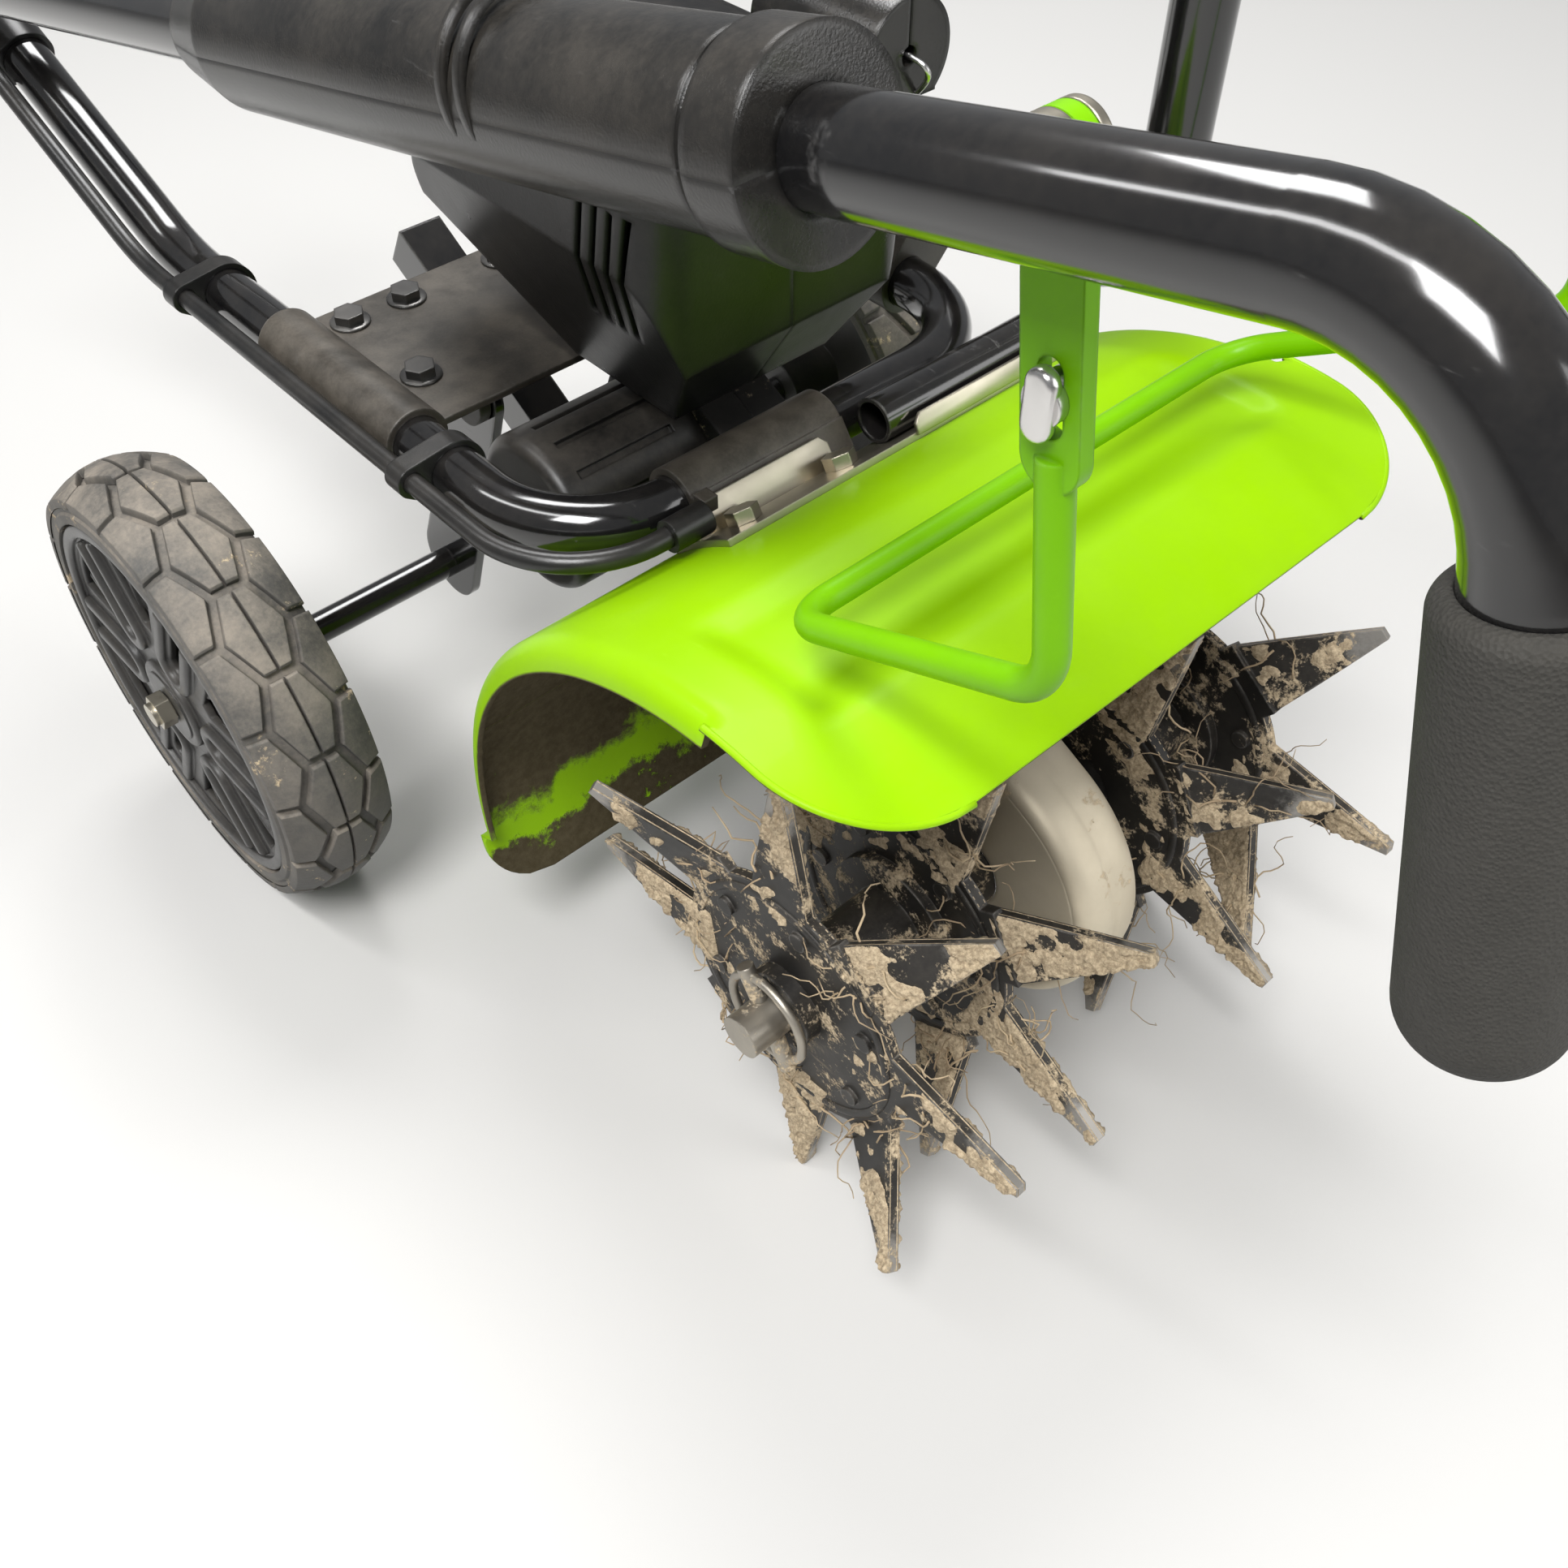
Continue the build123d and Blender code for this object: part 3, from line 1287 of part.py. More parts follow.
with BuildPart() as stay_cradle:
    with BuildSketch(Plane.XY.offset(stay_top)):
        with Locations((handle_x, stay_y)):
            RectangleRounded(2 * cradle_half, cradle_w, cradle_w / 4)
    extrude(amount=cradle_high + handle_r)
    with BuildSketch(Plane.XY.offset(stay_top)):
        with Locations((handle_x, stay_y)):
            Circle(stay_r - stay_wall - fit_gap)
    extrude(amount=-cradle_plug)
    with BuildSketch(
        Plane(origin=(handle_x, bail_pivot_y, bail_pivot_z), x_dir=(1, 0, 0), z_dir=arm_back)
    ):
        Circle(handle_r + seat_gap)
    extrude(amount=2 * (stay_y - bail_pivot_y), mode=Mode.SUBTRACT)
stay_cradle.part.label = "stay_cradle"
export_step(stay_cradle.part, "parts/stay_cradle.step")

with BuildPart() as stay_clamp:
    with BuildSketch(Plane.XZ.offset(-stay_end_y + clamp_end)):
        with Locations((arm_x, frame_z)):
            Circle(tube_r + fit_gap + clamp_t)
        with Locations((handle_x, stay_foot_z)):
            Circle(stay_r + fit_gap + clamp_t)
        make_hull()
        with Locations((arm_x, frame_z)):
            Circle(tube_r + fit_gap, mode=Mode.SUBTRACT)
        with Locations((handle_x, stay_foot_z)):
            Circle(stay_r + fit_gap, mode=Mode.SUBTRACT)
    extrude(amount=clamp_w)
stay_clamp.part.label = "stay_clamp"
export_step(stay_clamp.part, "parts/stay_clamp.step")

# Motor lead clipped along the left arm and round its front corner into the gland
rise_run = hypot(fold_y - knee_y, fold_z - frame_z)
rise_dir = (0, (fold_y - knee_y) / rise_run, (fold_z - frame_z) / rise_run)
rise_up = (0, -rise_dir[2], rise_dir[1])
start_z = frame_z + (lead_start_y - knee_y) * rise_dir[2] / rise_dir[1]
start_lift = lead_rise * rise_dir[1]
lead_points = [
    (-lead_side, lead_start_y + start_lift * rise_up[1], start_z + start_lift * rise_up[2]),
    (-lead_side, knee_y, lead_z),
    (-lead_side, gland_y, lead_z),
    (lead_end_x, gland_y, lead_z),
]
with BuildPart() as motor_lead:
    add(round_tube(lead_points, [knee_r, lead_bend_r], lead_r))
motor_lead.part.label = "motor_lead"
export_step(motor_lead.part, "parts/motor_lead.step")

with BuildPart() as lead_grommet:
    with BuildSketch(Plane(origin=(0, lead_start_y, start_z), x_dir=(1, 0, 0), z_dir=rise_dir)):
        with Locations((-arm_x, 0)):
            Circle(tube_r + fit_gap + clip_t)
        with Locations((-lead_side, start_lift)):
            Circle(lead_r + clip_t)
        make_hull()
        with Locations((-arm_x, 0)):
            Circle(tube_r + fit_gap, mode=Mode.SUBTRACT)
    extrude(amount=grommet_length)
lead_grommet.part.label = "lead_grommet"
export_step(lead_grommet.part, "parts/lead_grommet.step")

with BuildPart() as lead_clips:
    for clip_y in (clip_front_y, clip_rear_y):
        with BuildSketch(Plane.XZ.offset(-clip_y)):
            with Locations((-arm_x, frame_z)):
                Circle(tube_r + fit_gap + clip_t)
            with Locations((-lead_side, lead_z)):
                Circle(lead_r + fit_gap + clip_t)
            make_hull()
            with Locations((-arm_x, frame_z)):
                Circle(tube_r + fit_gap, mode=Mode.SUBTRACT)
            with Locations((-lead_side, lead_z)):
                Circle(lead_r + fit_gap, mode=Mode.SUBTRACT)
        extrude(amount=-clip_w)
lead_clips.part.label = "lead_clips"
export_step(lead_clips.part, "parts/lead_clips.step")

with BuildPart() as lead_gland:
    add(cross_cylinder(lead_end_x, saddle_left, gland_y, lead_z, gland_r))
lead_gland.part.label = "lead_gland"
export_step(lead_gland.part, "parts/lead_gland.step")
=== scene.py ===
import json
import logging
import random
from dataclasses import dataclass
from enum import Enum
from functools import partial
from math import cos, hypot, pi, radians, sin
from typing import Callable, Sequence

import bmesh
import bpy
from mathutils import Matrix, Vector, noise


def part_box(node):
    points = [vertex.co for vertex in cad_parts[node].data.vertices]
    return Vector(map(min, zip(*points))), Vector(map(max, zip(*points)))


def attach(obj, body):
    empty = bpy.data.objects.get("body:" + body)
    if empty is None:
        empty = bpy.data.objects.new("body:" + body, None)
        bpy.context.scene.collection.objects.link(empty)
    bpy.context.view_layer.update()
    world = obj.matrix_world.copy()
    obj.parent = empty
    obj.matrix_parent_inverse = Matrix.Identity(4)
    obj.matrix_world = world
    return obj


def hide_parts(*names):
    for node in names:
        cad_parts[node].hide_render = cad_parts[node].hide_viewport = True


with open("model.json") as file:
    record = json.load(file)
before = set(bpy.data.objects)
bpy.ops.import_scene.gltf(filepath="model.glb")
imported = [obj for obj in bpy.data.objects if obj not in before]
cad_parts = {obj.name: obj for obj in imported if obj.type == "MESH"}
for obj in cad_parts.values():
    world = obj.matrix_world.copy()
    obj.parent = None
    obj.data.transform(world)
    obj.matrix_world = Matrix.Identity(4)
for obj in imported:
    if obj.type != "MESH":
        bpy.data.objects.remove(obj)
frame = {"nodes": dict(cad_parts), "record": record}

log = logging.getLogger("cultivator")
BMesh = bmesh.types.BMesh
Colour = tuple[float, float, float]
Fill = Callable[[BMesh], None]
Modifier = tuple[str, dict[str, object]]
NodeTree = bpy.types.NodeTree
Object = bpy.types.Object
Outline = Sequence[tuple[float, float]]
Socket = bpy.types.NodeSocket

MM = 0.001
ACROSS = Vector((1.0, 0.0, 0.0))
FLOAT = "NodeSocketFloat"
MASK = {"Mask": FLOAT}


class Body(str, Enum):
    """Rigid bodies that scene pieces ride on."""

    CHASSIS = "chassis"
    ROTOR = "tine_rotor"
    LEFT_WHEEL = "left_wheel"
    RIGHT_WHEEL = "right_wheel"
    HANDLE = "handle"
    BAIL = "switch_bail"


class Surface(Enum):
    """Fine surface relief of a finish."""

    SMOOTH = "smooth"
    GRAIN = "grain"
    CAST = "cast"
    FOAM = "foam"


class Tree:
    """Small builder over one node tree.

    Args:
        tree: The shader node tree to fill.
    """

    def __init__(self, tree: NodeTree) -> None:
        """Keep the tree."""
        self.tree = tree

    def node(self, kind: str, inputs: dict | None = None, **settings: object) -> bpy.types.Node:
        """Add a node, set its properties, and link or set its inputs.

        Args:
            kind: Blender's node type name.
            inputs: Input name or index to a socket or a constant.
            **settings: Properties of the node.

        Returns:
            The new node.
        """
        made = self.tree.nodes.new(kind)
        for name, value in settings.items():
            setattr(made, name, value)
        for name, value in (inputs or {}).items():
            if isinstance(value, Socket):
                self.tree.links.new(value, made.inputs[name])
            else:
                made.inputs[name].default_value = value
        return made

    def math(self, operation: str, *values: object, clamp: bool = False) -> Socket:
        """One math node's output."""
        inputs = dict(enumerate(values))
        return self.node("ShaderNodeMath", inputs, operation=operation, use_clamp=clamp).outputs[0]

    def vector(self, operation: str, *values: object) -> bpy.types.Node:
        """One vector math node."""
        return self.node("ShaderNodeVectorMath", dict(enumerate(values)), operation=operation)

    def mix(self, factor: object, first: object, second: object) -> Socket:
        """Mix two colours, sockets or constants, by a factor."""
        below, above = (value if isinstance(value, Socket) else (*value, 1.0) for value in (first, second))
        return self.node("ShaderNodeMix", {0: factor, 6: below, 7: above}, data_type="RGBA").outputs[2]

    def blend(self, factor: object, first: object, second: object) -> Socket:
        """Mix two values by a factor."""
        return self.node("ShaderNodeMix", {0: factor, 2: first, 3: second}, data_type="FLOAT").outputs[0]

    def noise(self, place: Socket, scale: object, detail: float, rough: float) -> Socket:
        """Value of a noise texture."""
        inputs = {"Vector": place, "Scale": scale, "Detail": detail, "Roughness": rough}
        return self.node("ShaderNodeTexNoise", inputs).outputs["Fac"]

    def step(self, value: object, low: object, high: object) -> Socket:
        """Smooth step of a value between two limits."""
        inputs = {"Value": value, "From Min": low, "From Max": high}
        return self.node("ShaderNodeMapRange", inputs, interpolation_type="SMOOTHSTEP").outputs[0]

    def upward(self, vector: Socket) -> Socket:
        """Upward part of a vector."""
        return self.node("ShaderNodeSeparateXYZ", {0: vector}).outputs["Z"]

    def group(self, group: NodeTree, **values: float) -> bpy.types.bpy_prop_collection:
        """Place a node group with its own values and give its outputs."""
        return self.node("ShaderNodeGroup", values, node_tree=group).outputs

    def close(self, **outputs: Socket) -> NodeTree:
        """Link a group's outputs and give the group."""
        self.node("NodeGroupOutput", outputs)
        return self.tree


def new_group(name: str, inputs: dict[str, float], outputs: dict[str, str]) -> tuple[Tree, dict, dict]:
    """Make a shader node group with named sockets.

    Args:
        name: Name of the group.
        inputs: Input name to default value.
        outputs: Output name to socket type.

    Returns:
        A builder over the group, its inputs, and its texture coordinates.
    """
    group = bpy.data.node_groups.new(name, "ShaderNodeTree")
    for label, value in inputs.items():
        group.interface.new_socket(label, in_out="INPUT", socket_type=FLOAT).default_value = value
    for label, kind in outputs.items():
        group.interface.new_socket(label, in_out="OUTPUT", socket_type=kind)
    tree = Tree(group)
    return tree, tree.node("NodeGroupInput").outputs, tree.node("ShaderNodeTexCoord").outputs


# Pale dust colour; on the tyre the same layer is painted light on the upward-facing tread.
DUST_AND_TOP_LIGHT_COLOUR: Colour = (0.36, 0.31, 0.25)
DARK_SOIL: Colour = (0.29, 0.22, 0.14)
PALE_SOIL: Colour = (0.66, 0.535, 0.36)
# Dark brown mixed into the soil inside the guard: painted shade on the guard's shaded inner side.
PAINTED_SHADE_SOIL: Colour = (0.036, 0.03, 0.013)
BARE_STEEL: Colour = (0.42, 0.40, 0.37)
# Black laid over a finish above a set height.
BLACK_TOP_COLOUR: Colour = (0.006, 0.006, 0.0062)
WORN_WIDE = 1.6 * MM
BLACK_TOP_FADE = 2.0 * MM
SCUFF_ROUGH = 0.55
DUST_AND_TOP_LIGHT_ROUGH = 0.9
SOIL_ROUGH = 0.95
COAT_ROUGH = 0.08
BUMP_STRENGTH = 0.6


class Effects:
    """Surface effects shared by the finishes, each one node group."""

    def __init__(self) -> None:
        """Make every group."""
        self.dust_and_top_light = self._dust_and_top_light()
        self.scuff = self._scuff()
        self.soil = self._soil()
        self.wear = self._wear()
        self.relief = {kind: self._relief(kind) for kind in Surface if kind is not Surface.SMOOTH}

    def _dust_and_top_light(self) -> NodeTree:
        """Pale dust that settles on upper faces in soft patches; on the tyre the same layer is mostly painted top light
        on the tread.

        Returns:
            The node group, with one mask output.
        """
        tree, entry, coords = new_group("settled_dust_and_top_light", {"Amount": 0.4, "Scale": 30.0}, MASK)
        scale, place = entry["Scale"], coords["Object"]
        # Upward faces get the most: real dust, and on the tyre painted light from above.
        upward = tree.step(tree.upward(coords["Normal"]), low=-0.6, high=1.0)
        patch = tree.noise(place, scale, detail=6.0, rough=0.62)
        speck = tree.noise(place, tree.math("MULTIPLY", scale, 14.0), detail=3.0, rough=0.7)
        cloud = tree.step(tree.math("MULTIPLY_ADD", speck, 0.35, patch), low=0.42, high=0.98)
        mask = tree.math("MULTIPLY", upward, cloud)
        return tree.close(Mask=tree.math("MULTIPLY", mask, entry["Amount"], clamp=True))

    def _scuff(self) -> NodeTree:
        """Fine drawn-out scratches and rubbed spots.

        Returns:
            The node group, with one mask output.
        """
        tree, entry, coords = new_group("scuffs", {"Amount": 0.4, "Scale": 40.0}, MASK)
        scale, place = entry["Scale"], coords["Object"]
        drawn = {"Vector": place, "Scale": (1.0, 0.12, 1.0), "Rotation": (0.3, 0.2, 0.6)}
        along = tree.node("ShaderNodeMapping", drawn).outputs[0]
        lines = tree.noise(along, tree.math("MULTIPLY", scale, 12.0), detail=3.0, rough=0.6)
        spots = tree.noise(place, scale, detail=5.0, rough=0.7)
        drawn_in = tree.step(lines, low=0.62, high=0.76)
        scratched = tree.math("MULTIPLY", drawn_in, tree.step(spots, low=0.48, high=0.72))
        rubbed = tree.step(spots, low=0.66, high=0.8)
        mask = tree.math("MAXIMUM", scratched, rubbed)
        return tree.close(Mask=tree.math("MULTIPLY", mask, entry["Amount"], clamp=True))

    def _soil(self) -> NodeTree:
        """Dry caked soil: where it lies, how it stands up and how its colour changes.

        Returns:
            The node group, with a mask, a height and a colour output.
        """
        outputs = {"Mask": FLOAT, "Height": FLOAT, "Colour": "NodeSocketColor"}
        tree, entry, coords = new_group("caked_soil", {"Cover": 0.5, "Scale": 24.0}, outputs)
        scale, place = entry["Scale"], coords["Object"]
        broad = tree.noise(place, scale, detail=8.0, rough=0.66)
        fine = tree.noise(place, tree.math("MULTIPLY", scale, 11.0), detail=6.0, rough=0.72)
        crumb = tree.math("MULTIPLY_ADD", fine, 0.4, broad)
        edge = tree.math("SUBTRACT", 1.05, entry["Cover"])
        mask = tree.step(crumb, tree.math("SUBTRACT", edge, 0.03), tree.math("ADD", edge, 0.05))
        tint = tree.mix(tree.step(fine, low=0.3, high=0.72), DARK_SOIL, PALE_SOIL)
        rough_top = tree.math("ADD", tree.math("MULTIPLY", fine, 0.7), 0.5)
        return tree.close(Mask=mask, Height=tree.math("MULTIPLY", mask, rough_top), Colour=tint)

    def _wear(self) -> NodeTree:
        """Paint rubbed off along sharp edges.

        Returns:
            The node group, with one mask output.
        """
        tree, entry, coords = new_group("edge_wear", {"Amount": 0.5, "Scale": 60.0}, MASK)
        flat = tree.node("ShaderNodeNewGeometry").outputs["True Normal"]
        soft = tree.node("ShaderNodeBevel", {"Radius": WORN_WIDE}, samples=6).outputs["Normal"]
        along = tree.vector("DOT_PRODUCT", soft, flat).outputs["Value"]
        sharp = tree.step(along, low=0.97, high=0.86)
        spots = tree.noise(coords["Object"], entry["Scale"], detail=6.0, rough=0.7)
        mask = tree.math("MULTIPLY", sharp, tree.step(spots, low=0.42, high=0.62))
        return tree.close(Mask=tree.math("MULTIPLY", mask, entry["Amount"], clamp=True))

    def _relief(self, kind: Surface) -> NodeTree:
        """Fine relief of one kind of surface.

        Args:
            kind: Which relief to make.

        Returns:
            The node group, with one height output.
        """
        tree, entry, coords = new_group(f"relief_{kind.value}", {"Scale": 900.0}, {"Height": FLOAT})
        scale, place = entry["Scale"], coords["Object"]
        if kind is Surface.FOAM:
            cells = tree.node("ShaderNodeTexVoronoi", {"Vector": place, "Scale": scale})
            return tree.close(Height=cells.outputs["Distance"])
        detail = 2.0 if kind is Surface.GRAIN else 7.0
        return tree.close(Height=tree.noise(place, scale, detail, rough=0.6))


@dataclass(frozen=True)
class ShaftLine:
    """Line of the tine shaft, read from the frame."""

    axis: Vector

    @classmethod
    def from_frame(cls) -> "ShaftLine":
        """Read the line from the shaft node's box."""
        low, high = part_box("tine_shaft")
        return cls((low + high) / 2)

    def at(self, x: float) -> Vector:
        """Point of the line at a place across the machine."""
        return Vector((x, self.axis.y, self.axis.z))


SHAFT = ShaftLine.from_frame()


@dataclass
class Layers:
    """Sockets of one material while layer after layer goes over it."""

    tree: Tree
    colour: Socket
    rough: Socket
    metal: float | Socket
    height: Socket | None = None

    def cover(self, mask: Socket, colour: object, rough: float | None = None, metal: float | None = None) -> None:
        """Lay one layer over what is there.

        Args:
            mask: Where the layer lies.
            colour: Its colour.
            rough: Its roughness, or None to keep what is there.
            metal: How metallic it is, or None to keep what is there.
        """
        self.colour = self.tree.mix(mask, self.colour, colour)
        if rough is not None:
            self.rough = self.tree.blend(mask, self.rough, rough)
        if metal is not None and (metal or isinstance(self.metal, Socket) or self.metal):
            self.metal = self.tree.blend(mask, self.metal, metal)

    def lift(self, height: Socket) -> None:
        """Add to the relief."""
        self.height = height if self.height is None else self.tree.math("ADD", self.height, height)


@dataclass(frozen=True)
class Finish:
    """One finish of the machine, with the amounts of each shared effect."""

    name: str
    colour: Colour
    second: Colour
    roughness: float
    metallic: float = 0.0
    coat: float = 0.0
    specular: float = 0.5
    soft_edge: float = 0.8 * MM
    relief: Surface = Surface.SMOOTH
    relief_scale: float = 900.0
    relief_high: float = 0.05
    # Height above which the colour turns black.
    black_above: float | None = None
    wear: float = 0.0
    tip_wear: float = 0.0
    scuff: float = 0.0
    scuff_colour: Colour = (0.24, 0.235, 0.23)
    scuff_scale: float = 40.0
    # Amount of pale dust on upper faces; on the tyre much of it is painted top light.
    dust_and_top_light: float = 0.0
    dust_and_top_light_scale: float = 30.0
    soil: float = 0.0
    soil_scale: float = 24.0
    soil_high: float = 0.4
    # Share of the soil's own tint that is kept; the rest is a painted shade of dark brown.
    soil_unshaded_share: float = 1.0
    inner_soil: bool = False

    def make(self, effects: Effects) -> bpy.types.Material:
        """Build the material.

        Args:
            effects: The shared effect groups.

        Returns:
            The finished material.
        """
        material = bpy.data.materials.new(self.name)
        material.use_nodes = True
        material.node_tree.nodes.clear()
        tree = Tree(material.node_tree)
        place = tree.node("ShaderNodeTexCoord").outputs["Object"]
        cloud = tree.step(tree.noise(place, 18.0, detail=6.0, rough=0.6), low=0.3, high=0.7)
        colour = tree.mix(cloud, self.colour, self.second)
        uneven = tree.noise(place, 70.0, detail=5.0, rough=0.65)
        rough = tree.math("MULTIPLY_ADD", uneven, 0.5 * self.roughness, 0.75 * self.roughness)
        layers = Layers(tree, colour, rough, self.metallic)
        self._mould(layers, effects, place)
        self._rub(layers, effects, place)
        self._dirty(layers, effects)
        self._shade(layers)
        return material

    def _mould(self, layers: Layers, effects: Effects, place: Socket) -> None:
        """Add the fine relief, and turn the colour black above a set height.

        Args:
            layers: The material so far.
            effects: The shared effect groups.
            place: Place on the machine.
        """
        tree = layers.tree
        if self.relief is not Surface.SMOOTH:
            relief = tree.group(effects.relief[self.relief], Scale=self.relief_scale)
            layers.lift(tree.math("MULTIPLY", relief["Height"], self.relief_high))
        if self.black_above is not None:
            mask = tree.step(tree.upward(place), self.black_above, self.black_above + BLACK_TOP_FADE)
            layers.cover(mask, BLACK_TOP_COLOUR, metal=0.0)

    def _rub(self, layers: Layers, effects: Effects, place: Socket) -> None:
        """Rub the paint off edges and tips, and scuff it.

        Args:
            layers: The material so far.
            effects: The shared effect groups.
            place: Place on the machine.
        """
        tree = layers.tree
        if self.wear:
            layers.cover(tree.group(effects.wear, Amount=self.wear)["Mask"], BARE_STEEL, metal=1.0)
        if self.tip_wear:
            layers.cover(self._tips(tree, place), BARE_STEEL, metal=1.0)
        if self.scuff:
            mask = tree.group(effects.scuff, Amount=self.scuff, Scale=self.scuff_scale)["Mask"]
            layers.cover(mask, self.scuff_colour, rough=SCUFF_ROUGH)

    def _dirty(self, layers: Layers, effects: Effects) -> None:
        """Lay dust and caked soil over the rest, with painted light in both: the tyre's heavy dust lightens its upward
        faces as painted top light, and the soil inside the guard is darkened as painted shade.

        Args:
            layers: The material so far.
            effects: The shared effect groups.
        """
        tree = layers.tree
        # Pale layer on upward faces: real dust, and on the tyre mostly painted top light.
        if self.dust_and_top_light:
            mask = tree.group(effects.dust_and_top_light, Amount=self.dust_and_top_light, Scale=self.dust_and_top_light_scale)["Mask"]
            layers.cover(mask, DUST_AND_TOP_LIGHT_COLOUR, rough=DUST_AND_TOP_LIGHT_ROUGH, metal=0.0)
        if self.soil:
            soil = tree.group(effects.soil, Cover=self.soil, Scale=self.soil_scale)
            mask, tint = soil["Mask"], soil["Colour"]
            if self.inner_soil:
                mask = tree.math("MULTIPLY", mask, self._inner_side(tree))
            # Pull the soil's tint towards dark brown: painted shade on the guard's inner side, over real soil.
            if self.soil_unshaded_share < 1.0:
                tint = tree.mix(self.soil_unshaded_share, PAINTED_SHADE_SOIL, tint)
            layers.cover(mask, tint, rough=SOIL_ROUGH, metal=0.0)
            caked = tree.math("MULTIPLY", soil["Height"], mask)
            layers.lift(tree.math("MULTIPLY", caked, self.soil_high))

    def _shade(self, layers: Layers) -> None:
        """Add the shader, with soft edges and the relief as its bump.

        Args:
            layers: The finished layers.
        """
        tree = layers.tree
        normal = tree.node("ShaderNodeBevel", {"Radius": self.soft_edge}, samples=4).outputs["Normal"]
        if layers.height is not None:
            bump = {"Height": layers.height, "Strength": BUMP_STRENGTH, "Distance": MM, "Normal": normal}
            normal = tree.node("ShaderNodeBump", bump).outputs["Normal"]
        inputs = {"Base Color": layers.colour, "Roughness": layers.rough, "Metallic": layers.metal}
        inputs |= {"Coat Weight": self.coat, "Coat Roughness": COAT_ROUGH}
        inputs |= {"Specular IOR Level": self.specular, "Normal": normal}
        shader = tree.node("ShaderNodeBsdfPrincipled", inputs)
        tree.node("ShaderNodeOutputMaterial", {"Surface": shader.outputs[0]})

    @staticmethod
    def _spoke(tree: Tree, place: Socket) -> Socket:
        """Vector from the tine shaft's line straight out to a place."""
        away = tree.vector("SUBTRACT", place, tuple(SHAFT.axis)).outputs[0]
        return tree.vector("MULTIPLY", away, (0.0, 1.0, 1.0)).outputs[0]

    def _inner_side(self, tree: Tree) -> Socket:
        """Find the faces that look towards the tine shaft, but for a band that the tines keep clean.

        Args:
            tree: The material's tree.

        Returns:
            The mask.
        """
        coords = tree.node("ShaderNodeTexCoord").outputs
        place = coords["Object"]
        unit = tree.vector("NORMALIZE", self._spoke(tree, place)).outputs[0]
        facing = tree.vector("DOT_PRODUCT", unit, coords["Normal"]).outputs["Value"]
        inner = tree.step(facing, low=0.1, high=-0.1)
        ragged = tree.noise(place, 45.0, detail=6.0, rough=0.7)
        wavy = tree.math("MULTIPLY_ADD", ragged, 0.05, tree.upward(place))
        lower, upper = tree.step(wavy, low=0.09, high=0.096), tree.step(wavy, low=0.108, high=0.118)
        band = tree.math("SUBTRACT", lower, upper)
        return tree.math("MULTIPLY", inner, tree.math("MULTIPLY_ADD", band, -0.9, 1.0))

    def _tips(self, tree: Tree, place: Socket) -> Socket:
        """Find the outermost metal, where the ground has rubbed the paint off.

        Args:
            tree: The material's tree.
            place: Place on the machine.

        Returns:
            The mask.
        """
        far = tree.vector("LENGTH", self._spoke(tree, place)).outputs["Value"]
        ragged = tree.noise(place, 90.0, detail=5.0, rough=0.7)
        worn = tree.step(tree.math("MULTIPLY_ADD", ragged, 0.03, far), low=0.094, high=0.108)
        return tree.math("MULTIPLY", worn, self.tip_wear, clamp=True)


